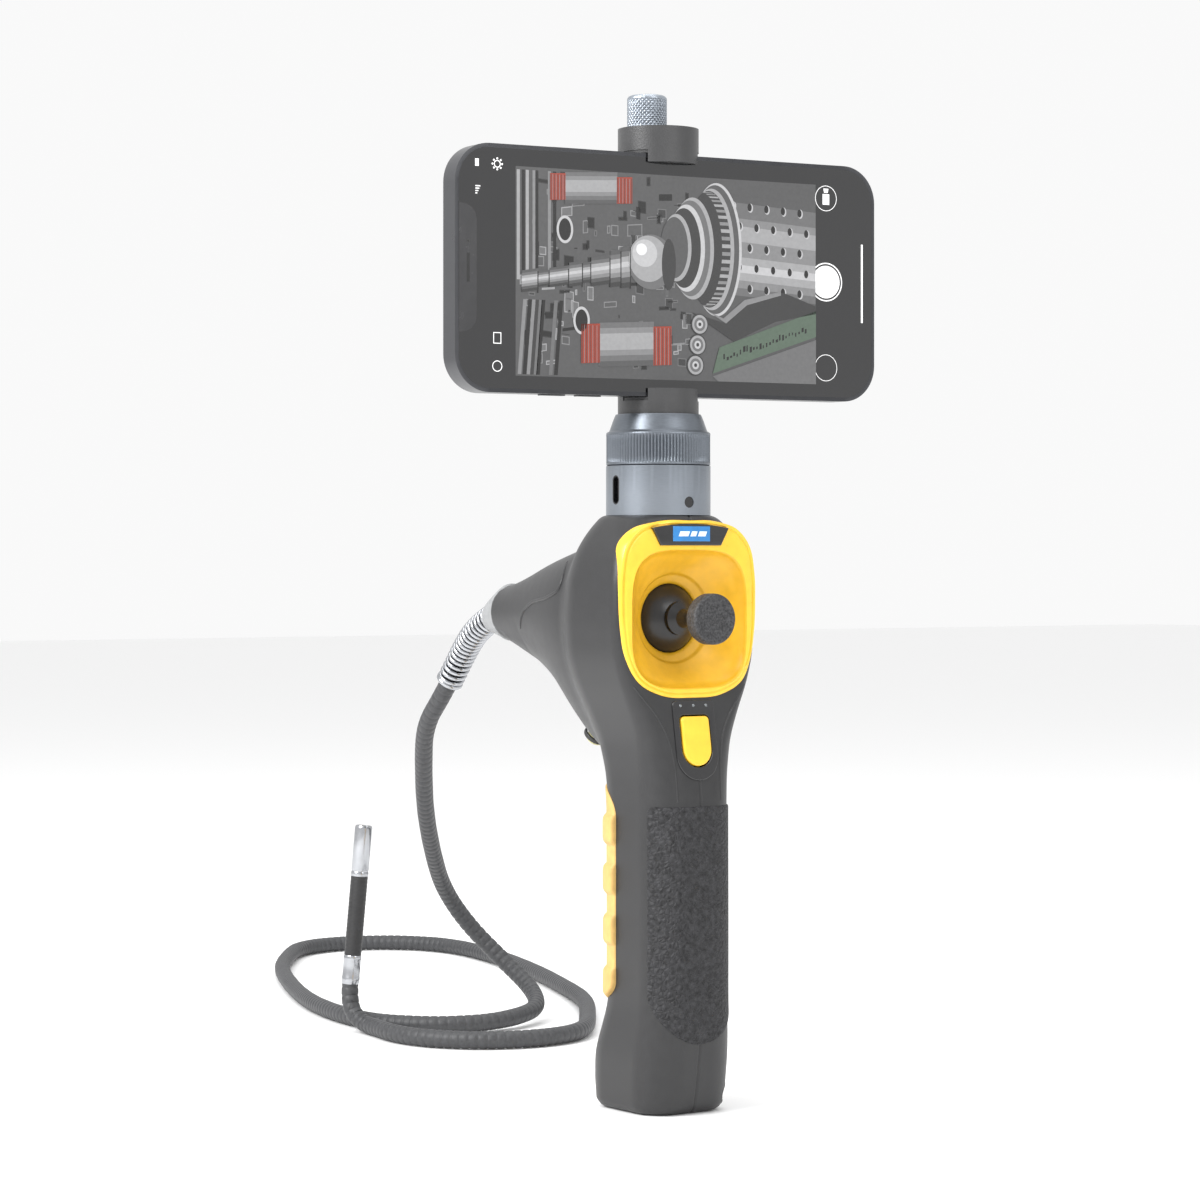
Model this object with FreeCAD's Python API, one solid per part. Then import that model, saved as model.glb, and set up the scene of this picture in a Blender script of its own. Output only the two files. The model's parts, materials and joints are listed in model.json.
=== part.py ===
# Articulating inspection camera with a joystick handle, a phone clamp and a
# semi-stiff snake. Millimetres, +Z up, the foot stands on z = 0, the collar's
# axis is X = Y = 0, the nose points along +Y and the joystick faces -Y.
import FreeCAD, Part
import os
import math
from FreeCAD import Vector as V

os.makedirs("parts", exist_ok=True)

# ---------------------------------------------------------------- dimensions
WALL = 2.2                      # housing wall
PAD_SINK = 0.8                  # depth of the recesses under the soft grips
PAD_PROUD = 0.5                 # how far the soft grips stand out
BUMP_PROUD = 1.2                # finger bumps, beyond PAD_PROUD
BUMP_Z = (40.7, 57.6, 73.8, 89.7)
PALM_Z = (22.6, 98.0)
PALM_HALF = 15.4
FINGER_Z = (35.0, 104.6)
FINGER_Y = 1.0

PIVOT = V(0, 1.3, 157.5)        # centre of the joystick's ball
BALL_R = 13.0
STICK_DEG = 20.0
CAP_R = 8.1
CAP_FACE_Y = -31.0

COLLAR_R = 16.85
COLLAR_Z = (190.5, 206.4)
RING_Z = (206.5, 223.0)
NECK_R = 13.05
LEDGE_Z = 228.4                 # underside of the phone
PHONE_L, PHONE_H, PHONE_T = 156.0, 77.6, 8.0
PHONE_R = 12.0
PHONE_YMID = -4.5
CLAMP_DEG = -5.5                # the clamp is turned this far at rest
ROD_Y = 7.2                     # threaded rod, behind the phone
KNOB_R = 6.5
KNOB_TOP = 326.6

CABLE_D = 6.4
SPRING_R = 4.9
SPRING_LEN = 37.0
ROUTE = [                        # runs of the snake, from the nose to the probe
    (0, 96.5, 156.6), (0, 106.3, 152.6), (2.1, 117.3, 145.7), (2.3, 124.7, 137.6),
    (1.6, 132.0, 128.4), (3.8, 147.4, 116.9), (14.7, 165.6, 101.5), (29.1, 187.3, 82.9),
    (48.0, 211.8, 64.5), (65.6, 232.2, 48.9), (78.9, 235.5, 34.0), (90.0, 227.1, 20.0),
    (92.4, 210.0, 10.3), (83.7, 192.9, 5.7), (68.0, 182.8, 4.4), (51.9, 181.0, 3.4),
    (36.6, 186.4, 3.2), (25.1, 197.9, 3.2), (19.4, 213.7, 3.2), (21.8, 239.9, 3.2),
    (31.0, 276.0, 3.2), (51.6, 326.0, 3.2), (77.3, 378.9, 3.2), (101.0, 414.0, 3.2),
    (120.9, 439.6, 3.2), (141.6, 447.6, 3.2), (163.5, 442.9, 3.2), (179.3, 426.9, 3.2),
    (184.1, 402.4, 3.2), (175.2, 356.9, 3.2), (158.5, 304.9, 3.2), (140.8, 260.1, 3.2),
    (122.4, 216.6, 3.2), (94.9, 176.0, 3.2), (73.1, 146.0, 3.2), (55.6, 137.0, 3.2),
    (37.5, 137.1, 3.2), (21.7, 145.5, 3.2), (11.5, 160.3, 3.2), (9.2, 178.2, 3.2),
    (12.6, 194.5, 3.2), (13.8, 206.0, 3.2), (12.4, 214.8, 8.4), (13.1, 214.3, 18.4)]

FERRULE_LEN = 9.9
SKIN_END = 39.5
PROBE_LEN = 58.5
HINGE_S = (12.5, 17.3, 22.1, 26.9, 31.7, 36.5)   # distances along the probe

# body sections: z, half width, front Y, back Y, front radius, back radius
BODY = [
    (0.0, 15.2, -17.6, 16.4, 9.0, 9.0),
    (2.6, 16.8, -19.6, 18.4, 11.0, 11.0),
    (9.0, 17.3, -21.0, 19.1, 12.0, 12.0),
    (18.0, 17.5, -22.2, 19.1, 12.5, 12.5),
    (26.0, 16.7, -23.3, 16.0, 12.3, 12.0),
    (34.0, 16.0, -23.5, 13.6, 12.0, 12.0),
    (60.0, 16.0, -23.5, 13.5, 12.0, 12.0),
    (98.0, 16.0, -23.3, 13.6, 12.0, 12.0),
    (108.0, 16.3, -22.1, 14.4, 10.5, 12.0),
    (119.0, 17.6, -20.3, 16.6, 8.0, 12.0),
    (128.0, 20.8, -18.8, 19.0, 6.0, 12.5),
    (136.0, 24.4, -17.6, 21.0, 4.6, 13.5),
    (145.0, 27.1, -16.9, 22.5, 4.0, 14.5),
    (157.0, 28.1, -16.6, 23.0, 3.8, 15.5),
    (170.0, 27.8, -16.6, 22.5, 4.0, 16.0),
    (179.0, 25.6, -16.7, 21.2, 5.5, 16.5),
    (186.0, 21.8, -17.0, 19.2, 10.0, 16.5),
    (190.5, 17.9, -17.3, 17.6, 16.8, 16.8)]
# nose sections: Y, lowest z, highest z, half width, squareness
NOSE = [
    (-4.0, 103.0, 186.5, 20.5, 2.3), (8.0, 104.5, 186.8, 23.0, 2.3),
    (18.0, 108.5, 185.8, 23.3, 2.3), (27.0, 114.0, 184.3, 22.4, 2.3),
    (35.0, 120.2, 182.6, 20.8, 2.3), (44.0, 127.6, 180.8, 18.6, 2.25),
    (53.0, 132.6, 179.2, 16.2, 2.2), (62.0, 136.9, 177.0, 13.9, 2.15),
    (71.0, 141.0, 173.9, 11.6, 2.1), (80.0, 145.4, 170.3, 9.5, 2.05),
    (90.0, 150.7, 166.5, 7.9, 2.0)]
NOSE_ZW = 158.6
SCREWS = [(-15.0, 5.0, 13.0), (10.0, 16.0, 16.6), (6.6, 86.0, 13.0),
          (13.0, 178.6, 22.6), (34.0, 138.0, 17.5), (62.0, 146.0, 11.9)]


# ------------------------------------------------------------------- helpers
def save(name, shape):
    if isinstance(shape, (list, tuple)):
        shape = Part.makeCompound(list(shape))
    if len(shape.Solids) == 1:
        clean = shape.copy().removeSplitter()
        if clean.isValid() and len(clean.Solids) == 1 and abs(clean.Volume - shape.Volume) < 0.5:
            shape = clean
    sol = shape.Solids
    if not sol:
        raise RuntimeError(name + " is empty")
    out = sol[0] if len(sol) == 1 else Part.makeCompound(sol)
    ok = all(s.isValid() for s in sol)
    bb = out.BoundBox
    print("%-20s solids %d valid %s vol %.1f  x %.1f %.1f y %.1f %.1f z %.1f %.1f" % (
        name, len(sol), ok, sum(s.Volume for s in sol),
        bb.XMin, bb.XMax, bb.YMin, bb.YMax, bb.ZMin, bb.ZMax))
    out.exportStep("parts/" + name + ".step")
    return out


def cyl(r, h, p, d):
    return Part.makeCylinder(r, h, V(*p), V(*d))


def box(x0, x1, y0, y1, z0, z1):
    return Part.makeBox(x1 - x0, y1 - y0, z1 - z0, V(x0, y0, z0))


def revolve_z(points):
    """Solid of revolution about Z from (r, z) points."""
    w = Part.makePolygon([V(r, 0, z) for r, z in points] + [V(points[0][0], 0, points[0][1])])
    return Part.Face(w).revolve(V(0, 0, 0), V(0, 0, 1), 360)


def rrect_wire(z, hx, yf, yb, rf, rb):
    """Closed section at height z, front corners rf, back corners rb."""
    k = math.sqrt(0.5)

    def arc(cx, cy, r, a0):
        p = [V(cx + r * math.cos(math.radians(a)), cy + r * math.sin(math.radians(a)), z)
             for a in (a0, a0 + 45, a0 + 90)]
        return Part.Arc(p[0], p[1], p[2]).toShape()
    e = [
        Part.LineSegment(V(-hx + rf, yf, z), V(hx - rf, yf, z)).toShape(),
        arc(hx - rf, yf + rf, rf, -90),
        Part.LineSegment(V(hx, yf + rf, z), V(hx, yb - rb, z)).toShape(),
        arc(hx - rb, yb - rb, rb, 0),
        Part.LineSegment(V(hx - rb, yb, z), V(-hx + rb, yb, z)).toShape(),
        arc(-hx + rb, yb - rb, rb, 90),
        Part.LineSegment(V(-hx, yb - rb, z), V(-hx, yf + rf, z)).toShape(),
        arc(-hx + rf, yf + rf, rf, 180)]
    return Part.Wire(e)


def lerp_rows(rows, z):
    for a, b in zip(rows, rows[1:]):
        if a[0] <= z <= b[0]:
            t = (z - a[0]) / (b[0] - a[0])
            return tuple(p + (q - p) * t for p, q in zip(a, b))
    return rows[0] if z < rows[0][0] else rows[-1]


def body_loft(off, z0=None, z1=None, extra=(), bump=None):
    """Body grown by off (shrunk if negative), between two heights."""
    zs = [r[0] for r in BODY]
    z0 = zs[0] if z0 is None else z0
    z1 = zs[-1] if z1 is None else z1
    pick = sorted(set([z0, z1] + [z for z in zs if z0 < z < z1] + [z for z in extra if z0 < z < z1]))
    wires = []
    for z in pick:
        _, hx, yf, yb, rf, rb = lerp_rows(BODY, z)
        o = off + (bump(z) if bump else 0.0)
        rf2, rb2 = max(1.0, rf + o), max(1.0, rb + o)
        hx2 = hx + o
        rf2, rb2 = min(rf2, hx2 - 0.3), min(rb2, hx2 - 0.3)
        wires.append(rrect_wire(z, hx2, yf - o, yb + o, rf2, rb2))
    return Part.makeLoft(wires, True, True)


def egg_wire(y, zl, zu, hw, n, zw):
    pts = []
    for i in range(20):
        a = 2 * math.pi * i / 20
        c, s = math.cos(a), math.sin(a)
        h = (zu - zw) if s >= 0 else (zw - zl)
        pts.append(V(hw * math.copysign(abs(c) ** (2 / n), c), y,
                     zw + h * math.copysign(abs(s) ** (2 / n), s)))
    b = Part.BSplineCurve()
    b.interpolate(Points=pts, PeriodicFlag=True)
    return Part.Wire(b.toShape())


def nose_loft(off, y1=90.0):
    wires = []
    rows = [r for r in NOSE if r[0] < y1] + [lerp_rows(NOSE, y1)]
    for y, zl, zu, hw, n in rows:
        wires.append(egg_wire(y, zl - off, zu + off, hw + off, n, NOSE_ZW))
    return Part.makeLoft(wires, True, False)


def ring_wire(y, fx, fz, zc, n=2.0, cnt=24):
    """Superellipse in a plane of constant Y."""
    pts = []
    for i in range(cnt):
        a = 2 * math.pi * i / cnt
        c, s = math.cos(a), math.sin(a)
        m = (abs(c) ** n + abs(s) ** n) ** (-1.0 / n)
        pts.append(V(fx * c * m, y, zc + fz * s * m))
    b = Part.BSplineCurve()
    b.interpolate(Points=pts, PeriodicFlag=True)
    return Part.Wire(b.toShape())


def frame_matrix(o, ex, ey, ez):
    return FreeCAD.Matrix(ex.x, ey.x, ez.x, o.x, ex.y, ey.y, ez.y, o.y,
                          ex.z, ey.z, ez.z, o.z, 0, 0, 0, 1)


def placed(shape, m):
    s = shape.copy()
    s.transformShape(m)
    return s


def tombstone(w, v0, v1, rt, z0, z1):
    """Prism with a round lower end and small upper corners, in u, v, w axes."""
    h = w / 2.0
    b = box(-h, h, v0 + h, v1, z0, z1).fuse(cyl(h, z1 - z0, (0, v0 + h, z0), (0, 0, 1))).removeSplitter()
    if rt > 0:
        es = [e for e in b.Edges if abs(e.BoundBox.YMax - v1) < 1e-6 and abs(e.BoundBox.YMin - v1) < 1e-6
              and e.BoundBox.ZLength > 0.5 * (z1 - z0)]
        b = b.makeFillet(rt, es)
    return b


# ----------------------------------------------------------- handle housing
outer = body_loft(0.0).fuse(nose_loft(0.0)).removeSplitter()
inner = body_loft(-WALL, 2.6, 187.6).fuse(nose_loft(-WALL, 83.0)).removeSplitter()
cavity = inner.copy()
for y, z, hx in SCREWS:                    # the screw bosses stay solid
    cavity = cavity.cut(cyl(3.1, 80, (-40, y, z), (1, 0, 0)))
shell = outer.copy().cut(cavity)
print("shell", len(shell.Solids), shell.isValid(), round(shell.Volume))

# recesses for the soft grips
palm_prism = tombstone(2 * PALM_HALF, PALM_Z[0], PALM_Z[1], 1.5, 11.0, 45.0)
palm_prism = placed(palm_prism, FreeCAD.Matrix(1, 0, 0, 0, 0, 0, -1, 0, 0, 1, 0, 0, 0, 0, 0, 1))
core = body_loft(-PAD_SINK, 12.0, 116.0)
skin_out = body_loft(PAD_PROUD, 12.0, 116.0)
palm_pad = skin_out.cut(core).common(palm_prism)
shell = shell.cut(palm_prism.cut(core))


def bump(z):
    o = 0.0
    for c in BUMP_Z:
        t = abs(z - c) / 4.65
        if t < 1:
            o = max(o, BUMP_PROUD * math.sqrt(1 - t * t))
    return o


extra = []
for c in BUMP_Z:
    extra += [c - 4.6, c - 3.9, c - 2.4, c, c + 2.4, c + 3.9, c + 4.6]
finger_prism = box(-30, 30, FINGER_Y, 40, FINGER_Z[0], FINGER_Z[1])
finger_out = body_loft(PAD_PROUD, 30.0, 112.0, extra, bump)
finger_grip = finger_out.cut(core).common(finger_prism)
shell = shell.cut(finger_prism.cut(core))
print("grips", len(palm_pad.Solids), len(finger_grip.Solids), len(shell.Solids), shell.isValid())

# ------------------------------------------------------------ joystick bezel
BEZ = [(0, 188.5), (12, 188.1), (19.2, 185.9), (24.2, 180.6), (26.2, 172.0), (26.5, 163.0),
       (26.1, 154.0), (24.6, 145.4), (20.2, 137.6), (12.2, 133.6), (0, 132.6)]


def bezel_wire(y, g=0.0):
    cz = 160.5
    pts = []
    for x, z in BEZ:
        d = math.hypot(x, z - cz)
        pts.append(V(x + g * x / d, y, z + g * (z - cz) / d))
    pts += [V(-p.x, y, p.z) for p in reversed(pts[1:-1])]
    pts = pts[5:] + pts[:5]                # the seam stays off the middle plane
    b = Part.BSplineCurve()
    b.interpolate(Points=pts, PeriodicFlag=True)
    return Part.Wire(b.toShape())


bez_prism = Part.Face(bezel_wire(-40)).extrude(V(0, 60, 0))
bez_front, bez_back = -16.0, -13.4
plate = Part.Face(bezel_wire(bez_front)).extrude(V(0, bez_back - bez_front, 0))
cup_out = Part.makeLoft([ring_wire(-14.6, 23.7, 23.1, 157.3, 3.6), ring_wire(-9.5, 18.6, 18.4, 157.4, 2.6),
                         ring_wire(-4.4, 14.0, 14.0, 157.5, 2.0)], True, True)
cup_in = Part.makeLoft([ring_wire(-18.0, 23.1, 22.5, 157.3, 3.8), ring_wire(-16.0, 22.3, 21.8, 157.3, 3.6),
                        ring_wire(-11.0, 17.2, 17.0, 157.4, 2.6), ring_wire(-6.0, 11.1, 11.1, 157.5, 2.0)], True, True)
bezel = plate.fuse(cup_out).cut(cup_in)
bezel = bezel.cut(Part.makeSphere(BALL_R + 0.3, PIVOT))
# badge pocket at the top of the bezel
badge_pts = [(-14.8, 186.6), (14.8, 186.6), (11.8, 180.9), (-11.8, 180.9)]


def xz_prism(pts, y0, y1):
    w = Part.makePolygon([V(x, y0, z) for x, z in pts] + [V(pts[0][0], y0, pts[0][1])])
    return Part.Face(w).extrude(V(0, y1 - y0, 0))


badge_plate = xz_prism(badge_pts, -16.3, -15.2)
inlay_pocket = box(-7.3, 7.3, -17, -15.9, 181.6, 186.0)
badge_inlay = box(-7.3, 7.3, -16.45, -15.9, 181.6, 186.0)
bezel = bezel.cut(badge_plate)
badge_plate = badge_plate.cut(inlay_pocket)
shell = shell.cut(Part.Face(bezel_wire(-40)).extrude(V(0, 40 + bez_back, 0)))
shell = shell.cut(cup_out)
print("bezel", len(bezel.Solids), bezel.isValid(), "shell", len(shell.Solids), shell.isValid())

# ------------------------------------------------------------- button panel
ang = math.atan(0.165)
cA, sA = math.cos(ang), math.sin(ang)
PM = frame_matrix(V(0, -20.3, 119.0), V(1, 0, 0), V(0, sA, cA), V(0, -cA, sA))
panel_prism = placed(tombstone(16.4, -13.0, 12.6, 1.5, -3.0, 6.0), PM)
panel = placed(tombstone(16.4, -13.0, 12.6, 1.5, -3.0, -1.0).cut(tombstone(11.5, -8.65, 7.85, 1.6, -4, 2)), PM)
lens_l = []
for u in (-5.0, 0.0, 5.0):
    h = placed(cyl(0.7, 2.1, (u, 11.0, -3.0), (0, 0, 1)), PM)
    panel = panel.cut(h)
    lens_l.append(h)
panel = panel.cut(bezel)
shell = shell.cut(panel_prism)
mode_button = placed(tombstone(11.0, -8.4, 7.6, 1.5, -4.2, 0.7).fuse(
    tombstone(12.8, -9.3, 8.5, 1.5, -4.2, -3.3)), PM).removeSplitter()
tact = [placed(box(-3, 3, -3.4, 2.6, -8.2, -5.6).fuse(cyl(1.7, 0.5, (0, -0.4, -5.6), (0, 0, 1))), PM)]
pcb = placed(box(-11, 11, -34, 9.5, -9.8, -8.2), PM)

# rear button on the keel of the nose
kn = V(0, 0.636, -0.772)
kt = V(0, 0.772, 0.636)
KM = frame_matrix(V(0, 32.6, 118.2), V(-1, 0, 0), kt, kn)


def stadium(w, l, z0, z1):
    """Stadium prism, w wide in u and l long in v."""
    if w >= l:
        r = l / 2.0
        return box(-w / 2 + r, w / 2 - r, -r, r, z0, z1).fuse(
            [cyl(r, z1 - z0, (sx * (w / 2 - r), 0, z0), (0, 0, 1)) for sx in (-1, 1)]).removeSplitter()
    r = w / 2.0
    return box(-r, r, -l / 2 + r, l / 2 - r, z0, z1).fuse(
        [cyl(r, z1 - z0, (0, sy * (l / 2 - r), z0), (0, 0, 1)) for sy in (-1, 1)]).removeSplitter()


shell = shell.cut(placed(stadium(9.5, 6.5, -8, 6), KM))
rear_button = placed(stadium(9.0, 6.0, -4.6, 2.0).fuse(stadium(10.6, 7.4, -6.2, -5.4)).fuse(
    stadium(9.0, 6.0, -5.4, -4.6)), KM).removeSplitter()
tact.append(placed(box(-3, 3, -3, 3, -10.4, -7.9).fuse(cyl(1.7, 0.4, (0, 0, -7.9), (0, 0, 1))), KM))
pcb2 = placed(box(-5, 5, -5, 5, -11.6, -10.4), KM)

# ------------------------------------------------------------ ends and bores
shell = shell.cut(cyl(5.0, 20, (0, 80, 158.6), (0, 1, 0)))
shell = shell.cut(cyl(12.0, 10, (0, 0, 185), (0, 0, 1)))

# screw bosses, screws from the +X side
screws = []
half_l = shell.copy().common(box(-60, 0, -60, 120, -5, 200))
half_r = shell.copy().common(box(0, 60, -60, 120, -5, 200))
print("halves", half_l.isValid(), half_r.isValid(), round(half_l.Volume), round(half_r.Volume))
for y, z, hx in SCREWS:
    s = cyl(1.5, hx + 4.0, (-6.5, y, z), (1, 0, 0)).fuse(cyl(2.7, 2.0, (hx - 2.8, y, z), (1, 0, 0)))
    s = s.cut(box(hx - 1.6, hx, y - 0.35, y + 0.35, z - 2.0, z + 2.0)).cut(
        box(hx - 1.6, hx, y - 2.0, y + 2.0, z - 0.35, z + 0.35))
    screws.append(s)
    half_l = half_l.cut(cyl(1.5, 8.5, (-6.5, y, z), (1, 0, 0)))
    half_r = half_r.cut(cyl(1.5, hx + 5.0, (-1.0, y, z), (1, 0, 0)))
    half_r = half_r.cut(cyl(2.75, 12.0, (hx - 2.8, y, z), (1, 0, 0)))
    print("bored", half_l.isValid(), half_r.isValid(), round(half_l.Volume), round(half_r.Volume))
save("housing_left", half_l)
save("housing_right", half_r)
save("joystick_bezel", bezel)
save("badge_plate", badge_plate)
save("badge_inlay", badge_inlay)
save("palm_pad", palm_pad)
save("finger_grip", finger_grip)
save("button_panel", panel)
save("indicator_lenses", lens_l)
save("mode_button", mode_button)
save("rear_button", rear_button)
save("housing_screws", screws)
save("tact_switches", tact)
save("main_pcb", [pcb, pcb2])

# ------------------------------------------------------------------- battery
battery = cyl(9.2, 64.5, (0, -5, 8.6), (0, 0, 1)).fuse(cyl(3.0, 1.0, (0, -5, 73.1), (0, 0, 1)))
save("battery_cell", battery)
spring_cup = revolve_z([(4.6, 3.2), (5.2, 3.2), (3.6, 8.6), (3.0, 8.6)])
spring_cup.translate(V(0, -5, 0))
save("battery_contacts", [box(-6, 6, -11, 1, 2.6, 3.2).fuse(spring_cup), box(-7, 7, -10, 0, 74.1, 74.7)])

# ---------------------------------------------------------- joystick gimbal
px, py, pz = PIVOT.x, PIVOT.y, PIVOT.z
frame = box(-15, 15, 15.5, 18.0, pz - 14.5, pz + 14.5)
for s in (-1, 1):
    z0 = pz + (8.0 if s > 0 else -10.5)
    arm = box(-3, 3, py - 2.8, 16.0, z0, z0 + 2.5)
    frame = frame.fuse(arm)
for sx in (-1, 1):
    for sz in (-1, 1):
        frame = frame.fuse(cyl(2.0, 28.5, (sx * 13.0, -12.5, pz + sz * 12.5), (0, 1, 0)))
        frame = frame.fuse(box(sx * 13.0 - 2, sx * 13.0 + 2, 14.0, 16.0, pz + sz * 12.5 - 2, pz + sz * 12.5 + 2))
for s in (-1, 1):
    z0 = pz + (7.0 if s > 0 else -11.5)
    frame = frame.cut(cyl(1.54, 4.5, (0, py, z0), (0, 0, 1)))
frame = frame.cut(cup_out.fuse(cyl(14.0, 3.0, (0, -5.0, pz), (0, 1, 0)))).cut(cup_in)
ballroom = Part.makeSphere(BALL_R + 0.5, PIVOT).cut(Part.makeSphere(BALL_R - 2.2, PIVOT)).common(
    box(-20, 20, -20, py + 8.0, 130, 185))
frame = frame.cut(ballroom)
frame = max(frame.Solids, key=lambda q: q.Volume)
save("gimbal_frame", frame)

yoke = box(px - 3.2, px + 3.2, py - 3.2, py + 3.2, pz - 3.2, pz + 3.2)
yoke = yoke.fuse(cyl(2.6, 15.4, (px, py, pz - 7.7), (0, 0, 1)))
yoke = yoke.fuse(cyl(1.5, 20.6, (px, py, pz - 10.3), (0, 0, 1)))
yoke = yoke.fuse(cyl(2.6, 15.4, (px - 7.7, py, pz), (1, 0, 0)))
yoke = yoke.fuse(cyl(1.5, 21.0, (px - 10.5, py, pz), (1, 0, 0))).removeSplitter()
save("joystick_yoke", yoke)

dome = Part.makeSphere(BALL_R, PIVOT).cut(Part.makeSphere(BALL_R - 1.4, PIVOT))
dome = dome.common(box(-20, 20, -20, py + 1.5, 130, 185))
tabs = None
for s in (-1, 1):
    x0 = px + (8.0 if s > 0 else -12.2)
    t = box(x0, x0 + 4.2, py - 9.0, py + 3.0, pz - 3.0, pz + 3.0).common(Part.makeSphere(BALL_R - 0.4, PIVOT))
    tabs = t if tabs is None else tabs.fuse(t)
tabs = tabs.cut(cyl(1.54, 21.4, (px - 10.7, py, pz), (1, 0, 0)))
stick = revolve_z([(0, 0), (5.4, 0), (5.4, 1.6), (3.1, 3.2), (2.3, 6.0), (2.3, 16.4), (0, 16.4)])
stick = placed(stick, frame_matrix(V(0, py - BALL_R + 0.9, pz), V(1, 0, 0), V(0, 0, 1), V(0, -1, 0)))
joystick = dome.fuse(tabs).fuse(stick).removeSplitter()
joystick = joystick.cut(Part.makeSphere(4.3, PIVOT))
save("joystick_stick", joystick)
cap_len = (py - BALL_R + 0.9 - 16.4) - CAP_FACE_Y
cap = revolve_z([(0, 0), (2.9, 0), (2.9, -2.2), (4.2, -2.2), (5.4, 0.0), (7.6, 0.4), (CAP_R, 1.2), (CAP_R, cap_len - 0.8),
                 (CAP_R - 0.8, cap_len), (0, cap_len - 0.45)])
cap = cap.cut(revolve_z([(0, -5), (2.3, -5), (2.3, 0), (0, 0)]))
cap = placed(cap, frame_matrix(V(0, CAP_FACE_Y + cap_len, pz), V(1, 0, 0), V(0, 0, 1), V(0, -1, 0)))
save("joystick_cap", cap)

# ---------------------------------------------------- wires inside the nose
guide = box(-30, 30, 44, 46.5, 110, 190).common(nose_loft(-WALL, 83.0))
wires = []
for dx, dz in ((0, 4.0), (0, -4.0), (4.0, 0), (-4.0, 0)):
    p0 = V(dx, 20.0, 158.6 + dz)
    p1 = V(dx * 0.45, 83.5, 158.6 + dz * 0.45)
    w = Part.makeCylinder(0.4, (p1 - p0).Length, p0, p1 - p0)
    wires.append(w)
    guide = guide.cut(w)
save("wire_guide", guide)
save("pull_wires", wires)

# -------------------------------------------------------------- nozzle + snake
def gland():
    c0 = Part.Wire(Part.Circle(V(0, 90.0, 158.6), V(0, 1, 0), 7.3).toShape())
    d = (V(*ROUTE[1]) - V(*ROUTE[0])).normalize()
    c1 = Part.Wire(Part.Circle(V(*ROUTE[0]), d, 5.1).toShape())
    g = Part.makeLoft([c0, c1], True, True)
    return g.fuse(cyl(5.0, 6.5, (0, 83.5, 158.6), (0, 1, 0))).removeSplitter()


save("nozzle_ferrule", gland())


def route_edges(points, report=False):
    """Straight runs joined by tangent arcs, as large as the runs allow."""
    P = [V(*p) for p in points]
    edges, last, radii = [], P[0], []
    for a, b, c in zip(P, P[1:], P[2:]):
        u, v = (b - a), (c - b)
        run = min(u.Length, v.Length)
        u.normalize()
        v.normalize()
        turn = math.acos(max(-1.0, min(1.0, u.dot(v))))
        cut = 0.45 * run
        radii.append(cut / math.tan(turn / 2))
        s, e = b - u * cut, b + v * cut
        r = radii[-1]
        bis = (v - u).normalize()
        centre = b + bis * math.hypot(r, cut)
        mid = centre - bis * r
        if (s - last).Length > 1e-6:
            edges.append(Part.LineSegment(last, s).toShape())
        edges.append(Part.Arc(s, mid, e).toShape())
        last = e
    edges.append(Part.LineSegment(last, P[-1]).toShape())
    if report:
        print("snake radii", [round(r, 1) for r in radii])
    return edges


def sweep(edges, r):
    w = Part.Wire(edges)
    t = edges[0].tangentAt(edges[0].FirstParameter)
    prof = Part.Wire(Part.Circle(edges[0].valueAt(edges[0].FirstParameter), t, r).toShape())
    return w.makePipeShell([prof], True, False)


edges = route_edges(ROUTE, True)
snake = sweep(edges, CABLE_D / 2)
length = sum(e.Length for e in edges)
section = math.pi * CABLE_D ** 2 / 4
print("snake length %.1f volume %.1f section x length %.1f" % (length, snake.Volume, section * length))
save("snake_tube", snake)
total, some = 0.0, []
for e in edges:
    if total >= SPRING_LEN:
        break
    some.append(e)
    total += e.Length
spring = sweep(some, SPRING_R).cut(sweep(edges[:len(some) + 2], CABLE_D / 2 + 0.05))
print("relief spring length %.1f" % total)
save("relief_spring", spring)

# --------------------------------------------------------------------- probe
pe = V(*ROUTE[-1])
ax = (pe - V(*ROUTE[-2])).normalize()
e1 = V(1, 0, 0) - ax * ax.x
e1.normalize()
e2 = ax.cross(e1)
QM = frame_matrix(pe, e1, e2, ax)      # local z runs along the probe
print("probe axis", ax, "e1", e1, "e2", e2)


def tube(ro, ri, z0, z1):
    t = cyl(ro, z1 - z0, (0, 0, z0), (0, 0, 1))
    return t.cut(cyl(ri, z1 - z0 + 2, (0, 0, z0 - 1), (0, 0, 1))) if ri else t


def ears(s, along_x, lower, outer_pair):
    """Pair of ears at hinge s. lower: they reach down to the ring below."""
    z0, z1 = (s - 1.4, s) if lower else (s, s + 1.4)
    if along_x:
        p = box(-4, 4, -1.0, 1.0, z0, z1).fuse(cyl(1.0, 8, (-4, 0, s), (1, 0, 0)))
    else:
        p = box(-1.0, 1.0, -4, 4, z0, z1).fuse(cyl(1.0, 8, (0, -4, s), (0, 1, 0)))
    ring = tube(2.75, 2.36, s - 2, s + 2) if outer_pair else tube(2.30, 1.9, s - 2, s + 2)
    e = p.common(ring)
    d = (1, 0, 0) if along_x else (0, 1, 0)
    if outer_pair:
        e = e.cut(cyl(0.55, 8, (-4 * d[0], -4 * d[1], s), d))
    else:
        pin = cyl(0.5, 5.44, (-2.72 * d[0], -2.72 * d[1], s), d).cut(cyl(2.0, 8, (0, 0, s - 4), (0, 0, 1)))
        e = e.fuse(pin)
    return e


def along(i):
    return i % 2 == 0


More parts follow.
